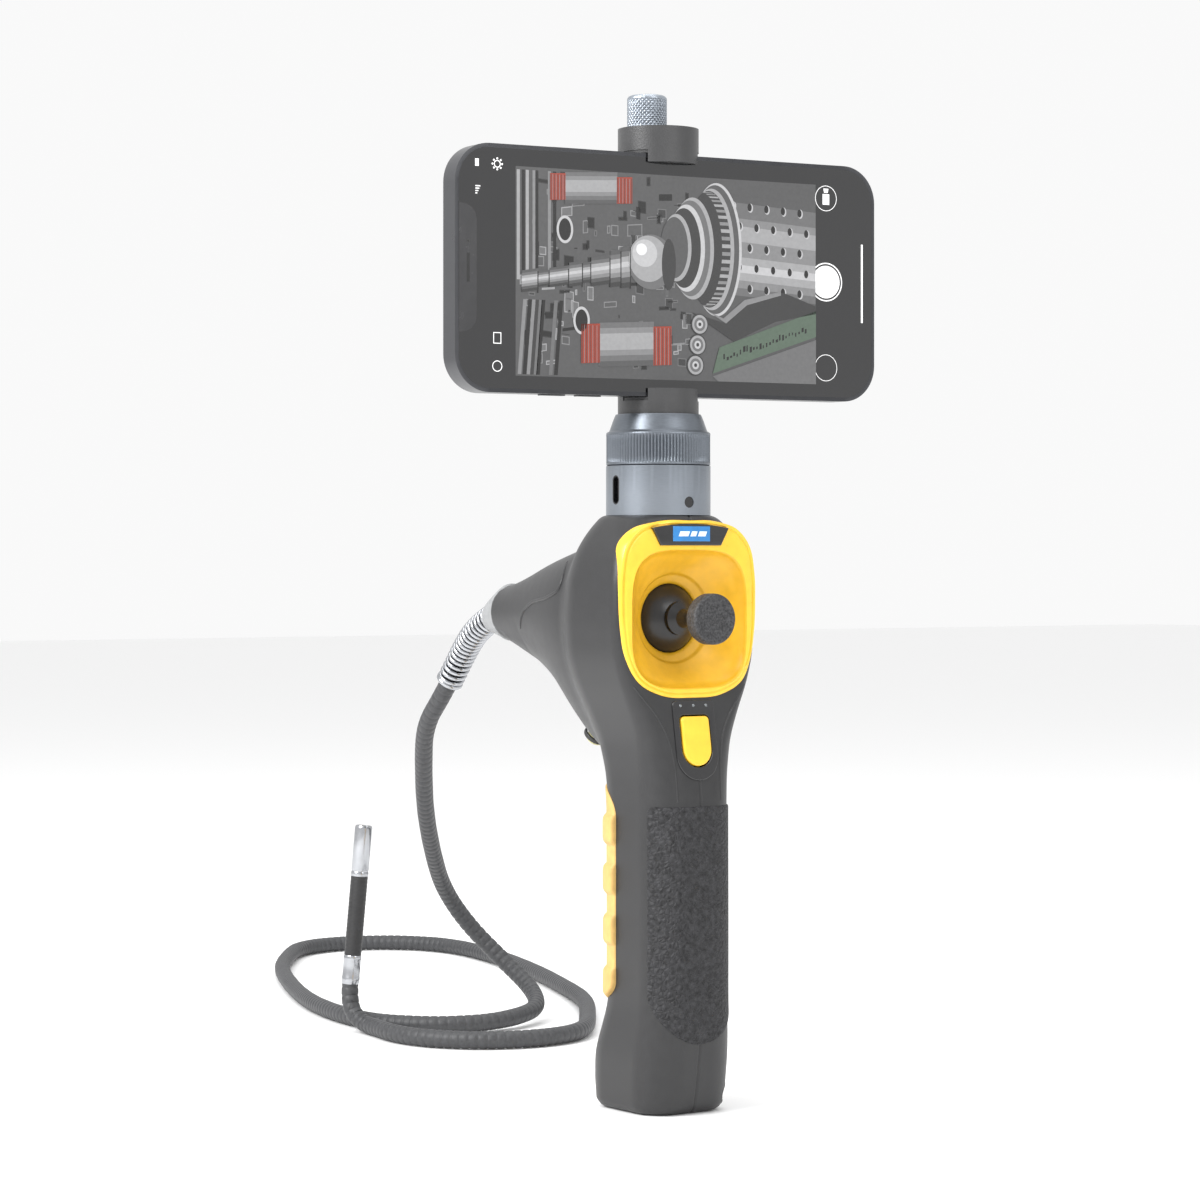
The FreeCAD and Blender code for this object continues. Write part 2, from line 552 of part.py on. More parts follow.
ferrule = tube(3.3, 1.5, 0, FERRULE_LEN).fuse(tube(2.75, 1.9, FERRULE_LEN, HINGE_S[0] - 1.2)).fuse(
    ears(HINGE_S[0], along(0), True, True))
save("tip_ferrule", placed(ferrule.removeSplitter(), QM))
for i in range(5):
    v = tube(2.75, 1.9, HINGE_S[i] + 1.2, HINGE_S[i + 1] - 1.2)
    v = v.fuse(ears(HINGE_S[i], along(i), False, False)).fuse(ears(HINGE_S[i + 1], along(i + 1), True, True))
    save("vertebra_%d" % (i + 1), placed(v.removeSplitter(), QM))
head = tube(3.2, 2.8, SKIN_END, PROBE_LEN).fuse(tube(2.75, 1.9, HINGE_S[5] + 1.2, SKIN_END + 1.0)).fuse(
    tube(2.9, 1.9, SKIN_END, SKIN_END + 1.0)).fuse(ears(HINGE_S[5], along(5), False, False))
save("camera_head", placed(head.removeSplitter(), QM))
save("camera_module", placed(tube(2.8, 0, 44.0, 57.2), QM))
save("led_ring", placed(tube(2.8, 1.7, 57.2, 58.1), QM))
save("lens_window", placed(tube(1.7, 0, 57.2, 58.3), QM))
save("bending_skin", placed(tube(3.2, 2.85, FERRULE_LEN, SKIN_END), QM))

# -------------------------------------------------------------------- collar
collar = revolve_z([(14.3, COLLAR_Z[0]), (COLLAR_R, COLLAR_Z[0]), (COLLAR_R, COLLAR_Z[1]), (12.0, COLLAR_Z[1]),
                    (12.0, 214.6), (9.06, 214.6), (9.06, 203.4), (14.3, 203.4)])
usb_hole = placed(stadium(3.6, 9.4, 0, 8), frame_matrix(V(-20, 0, 198.6), V(0, 1, 0), V(0, 0, 1), V(1, 0, 0)))
collar = collar.cut(usb_hole)
collar = collar.cut(cyl(1.8, 4, (0, -18, 194.6), (0, 1, 0)))
save("collar_body", collar)
usb = stadium(3.6, 9.4, 0, 5.5).cut(stadium(2.8, 8.6, -1, 4.6)).fuse(box(-0.4, 0.4, -3.2, 3.2, 1.0, 4.8))
save("usb_port", placed(usb.removeSplitter(), frame_matrix(V(-COLLAR_R + 0.1, 0, 198.6), V(0, 1, 0), V(0, 0, 1), V(1, 0, 0))))
save("collar_lens", cyl(1.8, 2.2, (0, -16.5, 194.6), (0, 1, 0)))
save("radio_pcb", revolve_z([(3.0, 191.2), (14.3, 191.2), (14.3, 192.4), (3.0, 192.4)]))

ring = revolve_z([(12.06, RING_Z[0]), (COLLAR_R, RING_Z[0]), (COLLAR_R, 216.9), (16.0, 218.2), (14.3, 221.6), (13.7, RING_Z[1]),
                  (13.35, RING_Z[1]), (13.35, 215.0), (12.06, 215.0)])
save("lock_ring", ring)

# --------------------------------------------------------------------- clamp
CM = FreeCAD.Matrix()
CM.rotateZ(math.radians(CLAMP_DEG))
yb = PHONE_YMID + PHONE_T / 2           # back of the phone
yf = PHONE_YMID - PHONE_T / 2           # front of the phone
low = cyl(9.0, 10.2, (0, 0, 204.9), (0, 0, 1)).fuse(cyl(NECK_R, 14.0, (0, 0, 215.1), (0, 0, 1)))
lip = cyl(NECK_R, 31.0 - 27.0, (0, 0, 227.1), (0, 0, 1)).common(box(-20, 20, -20, yf - 0.7, 220, 240))
low = low.cut(box(-20, 20, yf - 0.7, yb + 0.6, LEDGE_Z - 1.2, 250)).fuse(lip)
low = low.cut(box(-20, 20, -20, yf - 0.7, 231.1, 250))
rail = box(-6.5, 6.5, yb + 0.6, yb + 3.2, 226.0, 311.5)
heel = cyl(NECK_R - 0.5, 18.0, (0, 0, 226.0), (0, 0, 1)).common(box(-20, 20, yb + 0.6, 20, 220, 250))
low = low.fuse(rail).fuse(heel).removeSplitter()
low = low.cut(cyl(2.55, 40.0, (0, ROD_Y, 215.6), (0, 0, 1)))
save("clamp_base", placed(low, CM))
lower_pad = cyl(NECK_R - 0.3, 1.0, (0, 0, LEDGE_Z - 1.2), (0, 0, 1)).common(
    box(-20, 20, yf - 0.6, yb + 0.5, 220, 240))
save("lower_pad", placed(lower_pad, CM))

top = LEDGE_Z + PHONE_H                 # top of the phone, 306.0
up = cyl(NECK_R, 314.9 - top - 1.2, (0, 0, top + 1.2), (0, 0, 1))
lip2 = cyl(NECK_R, 4.2, (0, 0, top - 2.7), (0, 0, 1)).common(box(-20, 20, -20, yf - 0.7, 290, 330))
leg = cyl(NECK_R - 0.6, 30.0, (0, 0, 280.0), (0, 0, 1)).common(box(-9.5, 9.5, yb + 0.6, 20, 270, 330))
up = up.fuse(lip2).fuse(leg).removeSplitter()
up = up.cut(box(-6.75, 6.75, yb + 0.3, yb + 3.45, 270, 312.2))
up = up.cut(cyl(2.55, 60, (0, ROD_Y, 270), (0, 0, 1)))
save("upper_jaw", placed(up, CM))
upper_pad = cyl(NECK_R - 0.3, 1.0, (0, 0, top + 0.2), (0, 0, 1)).common(box(-20, 20, yf - 0.6, yb + 0.2, 290, 330))
save("upper_pad", placed(upper_pad, CM))
screw = cyl(2.5, 99.3, (0, ROD_Y, 216.0), (0, 0, 1)).fuse(
    placed(revolve_z([(0, 315.2), (5.7, 315.2), (KNOB_R, 316.1), (KNOB_R, KNOB_TOP - 0.9), (KNOB_R - 0.8, KNOB_TOP), (0, KNOB_TOP)]),
           frame_matrix(V(0, ROD_Y, 0), V(1, 0, 0), V(0, 1, 0), V(0, 0, 1)))).removeSplitter()
save("thumb_screw", placed(screw, CM))


# --------------------------------------------------------------------- phone
def slab(lx, lz, r, y0, y1, zc):
    b = box(-lx / 2, lx / 2, y0, y1, zc - lz / 2, zc + lz / 2)
    es = [e for e in b.Edges if e.BoundBox.YLength > 0.9 * (y1 - y0)]
    return b.makeFillet(r, es)


zc = LEDGE_Z + PHONE_H / 2
body = slab(PHONE_L, PHONE_H, PHONE_R, yf, yb, zc)
body = body.cut(slab(PHONE_L - 2.6, PHONE_H - 2.6, PHONE_R - 1.3, yf - 1, yf + 1.8, zc))
body = body.cut(slab(PHONE_L - 2.6, PHONE_H - 2.6, PHONE_R - 1.3, yb - 0.8, yb + 1, zc))
btn = {"phone_power_button": (-42.0, -30.0, 1), "phone_volume_up": (-46.0, -37.5, -1), "phone_volume_down": (-33.0, -24.5, -1)}
for name, (x0, x1, s) in btn.items():
    edge = zc + s * PHONE_H / 2
    z0, z1 = sorted((edge - s * 1.2, edge + s * 0.4))
    body = body.cut(box(x0 - 0.15, x1 + 0.15, PHONE_YMID - 1.35, PHONE_YMID + 1.35, min(edge - s * 1.6, edge + s), max(edge - s * 1.6, edge + s)))
    save(name, placed(box(x0, x1, PHONE_YMID - 1.2, PHONE_YMID + 1.2, z0, z1), CM))
save("phone_frame", placed(body, CM))
save("phone_glass", placed(slab(PHONE_L - 2.6, PHONE_H - 2.6, PHONE_R - 1.3, yf, yf + 0.8, zc), CM))
save("phone_display", placed(slab(PHONE_L - 6.0, PHONE_H - 6.0, PHONE_R - 3.0, yf + 0.8, yf + 1.8, zc), CM))
save("phone_back", placed(slab(PHONE_L - 2.6, PHONE_H - 2.6, PHONE_R - 1.3, yb - 0.8, yb, zc), CM))
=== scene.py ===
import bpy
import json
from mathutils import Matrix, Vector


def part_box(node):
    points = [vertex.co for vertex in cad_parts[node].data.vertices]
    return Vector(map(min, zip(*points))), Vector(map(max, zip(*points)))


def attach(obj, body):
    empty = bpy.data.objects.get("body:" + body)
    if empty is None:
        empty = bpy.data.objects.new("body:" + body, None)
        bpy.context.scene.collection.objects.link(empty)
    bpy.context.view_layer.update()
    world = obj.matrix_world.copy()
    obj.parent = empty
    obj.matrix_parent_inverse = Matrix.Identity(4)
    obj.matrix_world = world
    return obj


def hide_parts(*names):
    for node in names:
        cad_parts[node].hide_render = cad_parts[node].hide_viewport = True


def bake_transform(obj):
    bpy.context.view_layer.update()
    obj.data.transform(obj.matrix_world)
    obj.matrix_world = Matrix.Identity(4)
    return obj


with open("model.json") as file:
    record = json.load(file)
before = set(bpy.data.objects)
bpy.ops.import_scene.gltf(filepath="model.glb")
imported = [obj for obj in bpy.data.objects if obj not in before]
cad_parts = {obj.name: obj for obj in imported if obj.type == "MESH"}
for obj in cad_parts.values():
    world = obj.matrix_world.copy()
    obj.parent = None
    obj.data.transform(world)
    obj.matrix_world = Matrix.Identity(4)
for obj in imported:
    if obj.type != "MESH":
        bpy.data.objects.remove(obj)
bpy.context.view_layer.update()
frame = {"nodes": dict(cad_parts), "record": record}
import json
import math
import bpy
import bmesh
import numpy as np
from mathutils import Vector, Matrix

MM = 0.001


# ------------------------------------------------------------------ materials
def material(name, col, rough=0.5, metal=0.0, spec=0.5, tone=0.12, tscale=300.0, tdetail=3.0,
             bump=0.0, bscale=900.0, bkind="noise", bdist=0.0004, coat=0.0, rvar=0.06, stretch=None, alpha=None,
             trans=0.0, emit=None, wear=0.0):
    m = bpy.data.materials.new(name)
    m.use_nodes = True
    nt = m.node_tree
    b = nt.nodes["Principled BSDF"]
    L = nt.links
    b.inputs["Metallic"].default_value = metal
    b.inputs["Specular IOR Level"].default_value = spec
    b.inputs["Coat Weight"].default_value = coat
    b.inputs["Coat Roughness"].default_value = 0.08
    b.inputs["Transmission Weight"].default_value = trans
    if alpha is not None:
        b.inputs["Alpha"].default_value = alpha
    tc = nt.nodes.new("ShaderNodeTexCoord")
    vec = tc.outputs["Object"]
    if stretch:
        mp = nt.nodes.new("ShaderNodeMapping")
        mp.inputs["Scale"].default_value = stretch
        L.new(vec, mp.inputs["Vector"])
        vec = mp.outputs["Vector"]
    n1 = nt.nodes.new("ShaderNodeTexNoise")
    n1.inputs["Scale"].default_value = tscale
    n1.inputs["Detail"].default_value = tdetail
    L.new(vec, n1.inputs["Vector"])
    if tone > 0:
        cr = nt.nodes.new("ShaderNodeValToRGB")
        cr.color_ramp.elements[0].position = 0.3
        cr.color_ramp.elements[1].position = 0.7
        cr.color_ramp.elements[0].color = tuple(c * (1 - tone) for c in col) + (1,)
        cr.color_ramp.elements[1].color = tuple(min(1.0, c * (1 + tone)) for c in col) + (1,)
        L.new(n1.outputs["Fac"], cr.inputs["Fac"])
        out = cr.outputs["Color"]
        if wear > 0:
            gm = nt.nodes.new("ShaderNodeNewGeometry")
            r2 = nt.nodes.new("ShaderNodeMapRange")
            r2.inputs["From Min"].default_value = 0.53
            r2.inputs["From Max"].default_value = 0.62
            r2.inputs["To Max"].default_value = wear
            L.new(gm.outputs["Pointiness"], r2.inputs["Value"])
            mx = nt.nodes.new("ShaderNodeMix")
            mx.data_type = "RGBA"
            L.new(r2.outputs["Result"], mx.inputs["Factor"])
            L.new(out, mx.inputs["A"])
            mx.inputs["B"].default_value = tuple(min(1.0, c * 1.8 + 0.05) for c in col) + (1,)
            out = mx.outputs["Result"]
        L.new(out, b.inputs["Base Color"])
    else:
        b.inputs["Base Color"].default_value = tuple(col) + (1,)
    if rvar > 0:
        mr = nt.nodes.new("ShaderNodeMapRange")
        mr.inputs["To Min"].default_value = max(0.02, rough - rvar)
        mr.inputs["To Max"].default_value = min(1.0, rough + rvar)
        L.new(n1.outputs["Fac"], mr.inputs["Value"])
        L.new(mr.outputs["Result"], b.inputs["Roughness"])
    else:
        b.inputs["Roughness"].default_value = rough
    if bump > 0:
        if bkind == "voronoi":
            t = nt.nodes.new("ShaderNodeTexVoronoi")
            t.feature = "DISTANCE_TO_EDGE"
            h = t.outputs["Distance"]
        else:
            t = nt.nodes.new("ShaderNodeTexNoise")
            t.inputs["Detail"].default_value = 4.0
            h = t.outputs["Fac"]
        t.inputs["Scale"].default_value = bscale
        L.new(vec, t.inputs["Vector"])
        bp = nt.nodes.new("ShaderNodeBump")
        bp.inputs["Strength"].default_value = bump
        bp.inputs["Distance"].default_value = bdist
        L.new(h, bp.inputs["Height"])
        L.new(bp.outputs["Normal"], b.inputs["Normal"])
    if emit:
        b.inputs["Emission Color"].default_value = tuple(emit[:3]) + (1,)
        b.inputs["Emission Strength"].default_value = emit[3]
    return m


MAT = {
    "black_plastic": material("m_black_plastic", (0.019, 0.019, 0.020), 0.42, bump=0.12, bscale=2600, tone=0.10, wear=0.25),
    "yellow_plastic": material("m_yellow_plastic", (0.93, 0.55, 0.035), 0.30, tone=0.05, bump=0.05, bscale=1500, coat=0.15),
    # painted shade: a darker copy of the bezel's yellow for the inside of the joystick bowl, where the recess lies in
    # shade
    "bowl_yellow_painted_shade": material("m_bowl_yellow", (0.78, 0.43, 0.018), 0.36, tone=0.06, bump=0.05, bscale=1500),
    "dark_gloss": material("m_dark_gloss", (0.010, 0.010, 0.011), 0.12, tone=0.10, rvar=0.03, coat=0.5, bump=0.02, bscale=400),
    "blue_inlay": material("m_blue_inlay", (0.02, 0.20, 0.52), 0.2, tone=0.10, rvar=0.03, coat=0.4),
    "badge_white": material("m_badge_white", (0.75, 0.85, 0.88), 0.3, tone=0.06, rvar=0.03),
    "ball_black": material("m_ball_black", (0.010, 0.010, 0.011), 0.30, tone=0.10, rvar=0.04, bump=0.03, bscale=1200),
    "grip_rubber": material("m_grip_rubber", (0.024, 0.024, 0.026), 0.6, tone=0.55, tscale=650, bdist=0.0011, bump=1.0, bscale=620, bkind="voronoi", spec=0.35),
    "cap_rubber": material("m_cap_rubber", (0.040, 0.040, 0.042), 0.6, tone=0.75, tscale=1500, bump=0.6, bscale=1400, spec=0.4),
    "yellow_rubber": material("m_yellow_rubber", (0.60, 0.38, 0.12), 0.55, tone=0.10, bump=0.18, bscale=1300),
    "clear_lens": material("m_clear_lens", (0.3, 0.33, 0.35), 0.12, tone=0.05, rvar=0.02, coat=0.6, trans=0.5),
    "pale_plastic": material("m_pale_plastic", (0.50, 0.48, 0.26), 0.45, tone=0.08, bump=0.08, bscale=1400),
    "steel": material("m_steel", (0.55, 0.55, 0.56), 0.32, metal=1.0, tone=0.12, stretch=(1, 1, 9), bump=0.08, bscale=900),
    "circuit_board": material("m_circuit_board", (0.02, 0.2, 0.08), 0.4, tone=0.25, tscale=500, coat=0.3),
    "battery_wrap": material("m_battery_wrap", (0.05, 0.25, 0.5), 0.25, tone=0.08, coat=0.5),
    "inner_plastic": material("m_inner_plastic", (0.16, 0.16, 0.17), 0.5, tone=0.10, bump=0.1),
    "ferrule_grey": material("m_ferrule_grey", (0.26, 0.265, 0.27), 0.42, tone=0.12, bump=0.1, bscale=1800),
    "bright_steel": material("m_bright_steel", (0.42, 0.43, 0.45), 0.24, metal=1.0, tone=0.08, rvar=0.06, bump=0.05, bscale=700),
    "snake_rubber": material("m_snake_rubber", (0.042, 0.043, 0.046), 0.50, tone=0.22, tscale=900, bump=0.25, bscale=2200),
    "skin_rubber": material("m_skin_rubber", (0.016, 0.016, 0.017), 0.45, tone=0.15, bump=0.15, bscale=2000),
    "led_board": material("m_led_board", (0.80, 0.72, 0.40), 0.4, tone=0.10, emit=(1.0, 0.9, 0.6, 0.35)),
    "led_chip": material("m_led_chip", (0.95, 0.72, 0.12), 0.3, tone=0.08, emit=(1.0, 0.85, 0.4, 0.8)),
    "anodised": material("m_anodised", (0.155, 0.172, 0.195), 0.36, metal=0.85, tone=0.10, stretch=(1, 1, 12), tscale=500, bump=0.10, bscale=1300, wear=0.5),
    "clamp_black": material("m_clamp_black", (0.020, 0.020, 0.021), 0.40, tone=0.15, bump=0.20, bscale=2000, wear=0.35),
    "steel_grey": material("m_steel_grey", (0.30, 0.33, 0.37), 0.34, metal=0.9, tone=0.15, bump=0.1, wear=0.6),
    "phone_metal": material("m_phone_metal", (0.035, 0.036, 0.040), 0.30, metal=0.6, tone=0.08, bump=0.04, bscale=2500, wear=0.4),
    "phone_glass": material("m_phone_glass", (0.006, 0.006, 0.007), 0.06, tone=0.05, rvar=0.02, coat=1.0),
    "display": material("m_display", (0.055, 0.056, 0.058), 0.22, tone=0.15, tscale=60),
    "phone_back_glass": material("m_phone_back", (0.022, 0.023, 0.027), 0.16, tone=0.08, coat=0.8),
}


# -------------------------------------------------------------------- helpers
def finish_mesh(me, sharp=35.0):
    me.polygons.foreach_set("use_smooth", [True] * len(me.polygons))
    me.set_sharp_from_angle(angle=math.radians(sharp))
    me.update()


def piece(name, verts, faces, mat, body="root", rep=(), sharp=35.0, unit=MM, ride=True):
    me = bpy.data.meshes.new(name)
    me.from_pydata([tuple(float(c) * unit for c in v) for v in verts], [], [tuple(int(i) for i in f) for f in faces])
    bm = bmesh.new()
    bm.from_mesh(me)
    bmesh.ops.recalc_face_normals(bm, faces=bm.faces)
    bm.to_mesh(me)
    bm.free()
    finish_mesh(me, sharp)
    o = bpy.data.objects.new(name, me)
    bpy.context.scene.collection.objects.link(o)
    me.materials.append(MAT[mat])
    if ride:
        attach(o, body)
    if rep:
        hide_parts(*rep)
    return o


def grid_faces(nr, nc, wrap_c=False, wrap_r=False, off=0):
    f = []
    for r in range(nr if wrap_r else nr - 1):
        for c in range(nc if wrap_c else nc - 1):
            r2, c2 = (r + 1) % nr, (c + 1) % nc
            f.append((off + r * nc + c, off + r * nc + c2, off + r2 * nc + c2, off + r2 * nc + c))
    return f


def revolve(profile, n, M=None, rfun=None):
    """Rings from (r, z) rows about Z, closed where r is 0; rfun(r, z, a, i) gives the radius."""
    v = []
    for i, (r, z) in enumerate(profile):
        for k in range(n):
            a = 2 * math.pi * k / n
            q = rfun(r, z, a, i) if rfun else r
            v.append(Vector((q * math.cos(a), q * math.sin(a), z)))
    f = grid_faces(len(profile), n, wrap_c=True)
    f.append(tuple(range(n)))
    f.append(tuple(reversed(range((len(profile) - 1) * n, len(profile) * n))))
    if M is not None:
        v = [M @ p for p in v]
    return v, f


def tube(points, rad, n=16, closed=False, caps=True):
    """Swept tube with rotation-minimising frames; rad is a number or one per point."""
    P = np.array(points, float)
    T = np.gradient(P, axis=0)
    T /= np.linalg.norm(T, axis=1)[:, None]
    a = np.cross(T[0], [0.3, 0.2, 1.0])
    a /= np.linalg.norm(a)
    U = [a]
    for i in range(1, len(P)):
        u = U[-1] - T[i] * np.dot(U[-1], T[i])
        U.append(u / np.linalg.norm(u))
    U = np.array(U)
    W = np.cross(T, U)
    R = np.full(len(P), float(rad)) if np.isscalar(rad) else np.array(rad, float)
    ang = np.linspace(0, 2 * math.pi, n, endpoint=False)
    V = (P[:, None, :] + R[:, None, None] * (np.cos(ang)[None, :, None] * U[:, None, :]
                                              + np.sin(ang)[None, :, None] * W[:, None, :])).reshape(-1, 3)
    f = grid_faces(len(P), n, wrap_c=True)
    if caps:
        f.append(tuple(range(n)))
        f.append(tuple(reversed(range((len(P) - 1) * n, len(P) * n))))
    return V, f


def plate(name, outline, holes, z0, z1, bevel, M, mat, body="root", rep=(), res=3):
    """Flat plate from 2D outlines, with rounded edges, between z0 and z1 of the frame M (mm)."""
    cu = bpy.data.curves.new(name + "_c", "CURVE")
    cu.dimensions = "2D"
    cu.fill_mode = "BOTH"
    cu.extrude = (z1 - z0) / 2 - bevel
    cu.bevel_depth = bevel
    cu.bevel_resolution = res
    cu.offset = -bevel
    for loop in [outline] + list(holes):
        sp = cu.splines.new("POLY")
        sp.points.add(len(loop) - 1)
        for p, q in zip(sp.points, loop):
            p.co = (q[0], q[1], 0, 1)
        sp.use_cyclic_u = True
    tmp = bpy.data.objects.new(name + "_t", cu)
    bpy.context.scene.collection.objects.link(tmp)
    bpy.context.view_layer.update()
    me = bpy.data.meshes.new_from_object(tmp.evaluated_get(bpy.context.evaluated_depsgraph_get()))
    bpy.data.objects.remove(tmp)
    vs = [M @ Vector((v.co.x, v.co.y, v.co.z + (z0 + z1) / 2)) for v in me.vertices]
    fs = [tuple(p.vertices) for p in me.polygons]
    bpy.data.meshes.remove(me)
    bm = bmesh.new()
    bv = [bm.verts.new(v) for v in vs]
    for q in fs:
        try:
            bm.faces.new([bv[i] for i in q])
        except ValueError:
            pass
    bmesh.ops.remove_doubles(bm, verts=bm.verts, dist=1e-4)
    bm.verts.ensure_lookup_table()
    vs = [v.co.copy() for v in bm.verts]
    bm.verts.index_update()
    fs = [tuple(v.index for v in q.verts) for q in bm.faces]
    bm.free()
    return piece(name, vs, fs, mat, body, rep, sharp=40)


def rows_at(rows, z):
    z = np.asarray(z, float)
    A = np.array(rows, float)
    return [np.interp(z, A[:, 0], A[:, k]) for k in range(1, A.shape[1])]


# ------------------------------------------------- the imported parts' finishes
SLOT_OF = {}
for k, nd in frame["record"].get("nodes", {}).items() if isinstance(frame["record"].get("nodes"), dict) else []:
    SLOT_OF[k] = nd
SL = {
    "housing_left": "black_plastic", "housing_right": "black_plastic", "joystick_bezel": "yellow_plastic",
    "badge_plate": "dark_gloss", "badge_inlay": "blue_inlay", "palm_pad": "grip_rubber", "finger_grip": "yellow_rubber",
    "button_panel": "dark_gloss", "indicator_lenses": "clear_lens", "mode_button": "yellow_plastic",
    "rear_button": "pale_plastic", "housing_screws": "steel", "tact_switches": "dark_gloss", "main_pcb": "circuit_board",
    "battery_cell": "battery_wrap", "battery_contacts": "steel", "gimbal_frame": "inner_plastic",
    "joystick_yoke": "steel", "joystick_stick": "ball_black", "joystick_cap": "cap_rubber", "wire_guide": "inner_plastic",
    "pull_wires": "steel", "nozzle_ferrule": "ferrule_grey", "relief_spring": "bright_steel",
    "snake_tube": "snake_rubber", "tip_ferrule": "bright_steel", "bending_skin": "skin_rubber",
    "camera_head": "bright_steel", "camera_module": "dark_gloss", "led_ring": "led_board", "lens_window": "clear_lens",
    "collar_body": "anodised", "usb_port": "dark_gloss", "collar_lens": "dark_gloss", "radio_pcb": "circuit_board",
    "lock_ring": "anodised", "clamp_base": "clamp_black", "lower_pad": "skin_rubber", "upper_jaw": "clamp_black",
    "upper_pad": "skin_rubber", "thumb_screw": "steel_grey", "phone_frame": "phone_metal", "phone_glass": "phone_glass",
    "phone_display": "display", "phone_back": "phone_back_glass", "phone_power_button": "phone_metal",
    "phone_volume_up": "phone_metal", "phone_volume_down": "phone_metal"}
for name, ob in frame["nodes"].items():
    key = SL.get(name, "steel")
    ob.data.materials.clear()
    ob.data.materials.append(MAT[key])
    ob.data.polygons.foreach_set("material_index", [0] * len(ob.data.polygons))
    ob.data.polygons.foreach_set("use_smooth", [True] * len(ob.data.polygons))
    ob.data.set_sharp_from_angle(angle=math.radians(28))

# --------------------------------------------------------- the camera's snake
ROUTE = [
    (0, 96.5, 156.6), (0, 106.3, 152.6), (2.1, 117.3, 145.7), (2.3, 124.7, 137.6),
    (1.6, 132.0, 128.4), (3.8, 147.4, 116.9), (14.7, 165.6, 101.5), (29.1, 187.3, 82.9),
    (48.0, 211.8, 64.5), (65.6, 232.2, 48.9), (78.9, 235.5, 34.0), (90.0, 227.1, 20.0),
    (92.4, 210.0, 10.3), (83.7, 192.9, 5.7), (68.0, 182.8, 4.4), (51.9, 181.0, 3.4),
    (36.6, 186.4, 3.2), (25.1, 197.9, 3.2), (19.4, 213.7, 3.2), (21.8, 239.9, 3.2),
    (31.0, 276.0, 3.2), (51.6, 326.0, 3.2), (77.3, 378.9, 3.2), (101.0, 414.0, 3.2),
    (120.9, 439.6, 3.2), (141.6, 447.6, 3.2), (163.5, 442.9, 3.2), (179.3, 426.9, 3.2),
    (184.1, 402.4, 3.2), (175.2, 356.9, 3.2), (158.5, 304.9, 3.2), (140.8, 260.1, 3.2),
    (122.4, 216.6, 3.2), (94.9, 176.0, 3.2), (73.1, 146.0, 3.2), (55.6, 137.0, 3.2),
    (37.5, 137.1, 3.2), (21.7, 145.5, 3.2), (11.5, 160.3, 3.2), (9.2, 178.2, 3.2),
    (12.6, 194.5, 3.2), (13.8, 206.0, 3.2), (12.4, 214.8, 8.4), (13.1, 214.3, 18.4)]
cu = bpy.data.curves.new("snake_line", "CURVE")
cu.dimensions = "3D"
sp = cu.splines.new("NURBS")
sp.points.add(len(ROUTE) - 1)
for p, q in zip(sp.points, ROUTE):
    p.co = (q[0] * MM, q[1] * MM, q[2] * MM, 1)
sp.order_u = 3
sp.use_endpoint_u = True
sp.resolution_u = 24
line = bpy.data.objects.new("snake_line", cu)
bpy.context.scene.collection.objects.link(line)
bpy.context.view_layer.update()
lm = bpy.data.meshes.new_from_object(line.evaluated_get(bpy.context.evaluated_depsgraph_get()))
RAW = np.array([v.co for v in lm.vertices], float).reshape(-1, 3) * 1000
bpy.data.meshes.remove(lm)
bpy.data.objects.remove(line)


def resample(P, step=None, s_list=None):
    d = np.concatenate([[0], np.cumsum(np.linalg.norm(np.diff(P, axis=0), axis=1))])
    s = np.arange(0, d[-1], step) if s_list is None else np.array(s_list)
    return np.stack([np.interp(s, d, P[:, k]) for k in range(3)], 1), s, d[-1]


keep = np.concatenate([[True], np.linalg.norm(np.diff(RAW, axis=0), axis=1) > 1e-4])
RAW = RAW[keep]
_, _, TOTAL = resample(RAW, 5.0)
print("snake length mm", round(TOTAL, 1))
PITCH = 3.2
ss, rr = [], []
nring = int(TOTAL / PITCH)
prof = [(0.0, 3.22), (0.62, 3.22), (0.70, 3.10), (0.80, 2.98), (0.92, 3.10)]
for i in range(nring):
    for f, r in prof:
        ss.append((i + f) * PITCH)
        rr.append(r)
ss.append(TOTAL)
rr.append(3.2)
# the slight unevenness of a wound sheath
rr = [r + 0.02 * math.sin(s * 0.31) for r, s in zip(rr, ss)]
P, _, _ = resample(RAW, s_list=ss)
v, f = tube(P, rr, n=24)
snake = piece("snake_sheath", v, f, "snake_rubber", rep=("snake_tube",), sharp=60)
path, _, _ = resample(RAW, 2.0)
path = np.vstack([path, RAW[-1]])

# strain relief: a bright wound spring round the first run
SPR = 39.5
turns = 17
Q, sq, _ = resample(RAW, s_list=np.linspace(0, SPR, 40 * turns))
T = np.gradient(Q, axis=0)
T /= np.linalg.norm(T, axis=1)[:, None]
u = np.array([1.0, 0, 0])
hel = []
for i in range(len(Q)):
    u = u - T[i] * np.dot(u, T[i])
    u /= np.linalg.norm(u)
    w = np.cross(T[i], u)
    a = 2 * math.pi * turns * i / (len(Q) - 1)
    hel.append(Q[i] + 4.05 * (math.cos(a) * u + math.sin(a) * w))
v, f = tube(hel, 0.76, n=10)
spring = piece("relief_coils", v, f, "bright_steel", rep=("relief_spring",), sharp=80)
end_ring = []
for k in range(64):
    a = 2 * math.pi * k / 64
    end_ring.append(Q[-1] + 4.0 * (math.cos(a) * u + math.sin(a) * w))
v, f = tube(end_ring + [end_ring[0]], 0.92, n=10, caps=False)
spring_end = piece("relief_coil_end", v, f, "bright_steel", sharp=80)

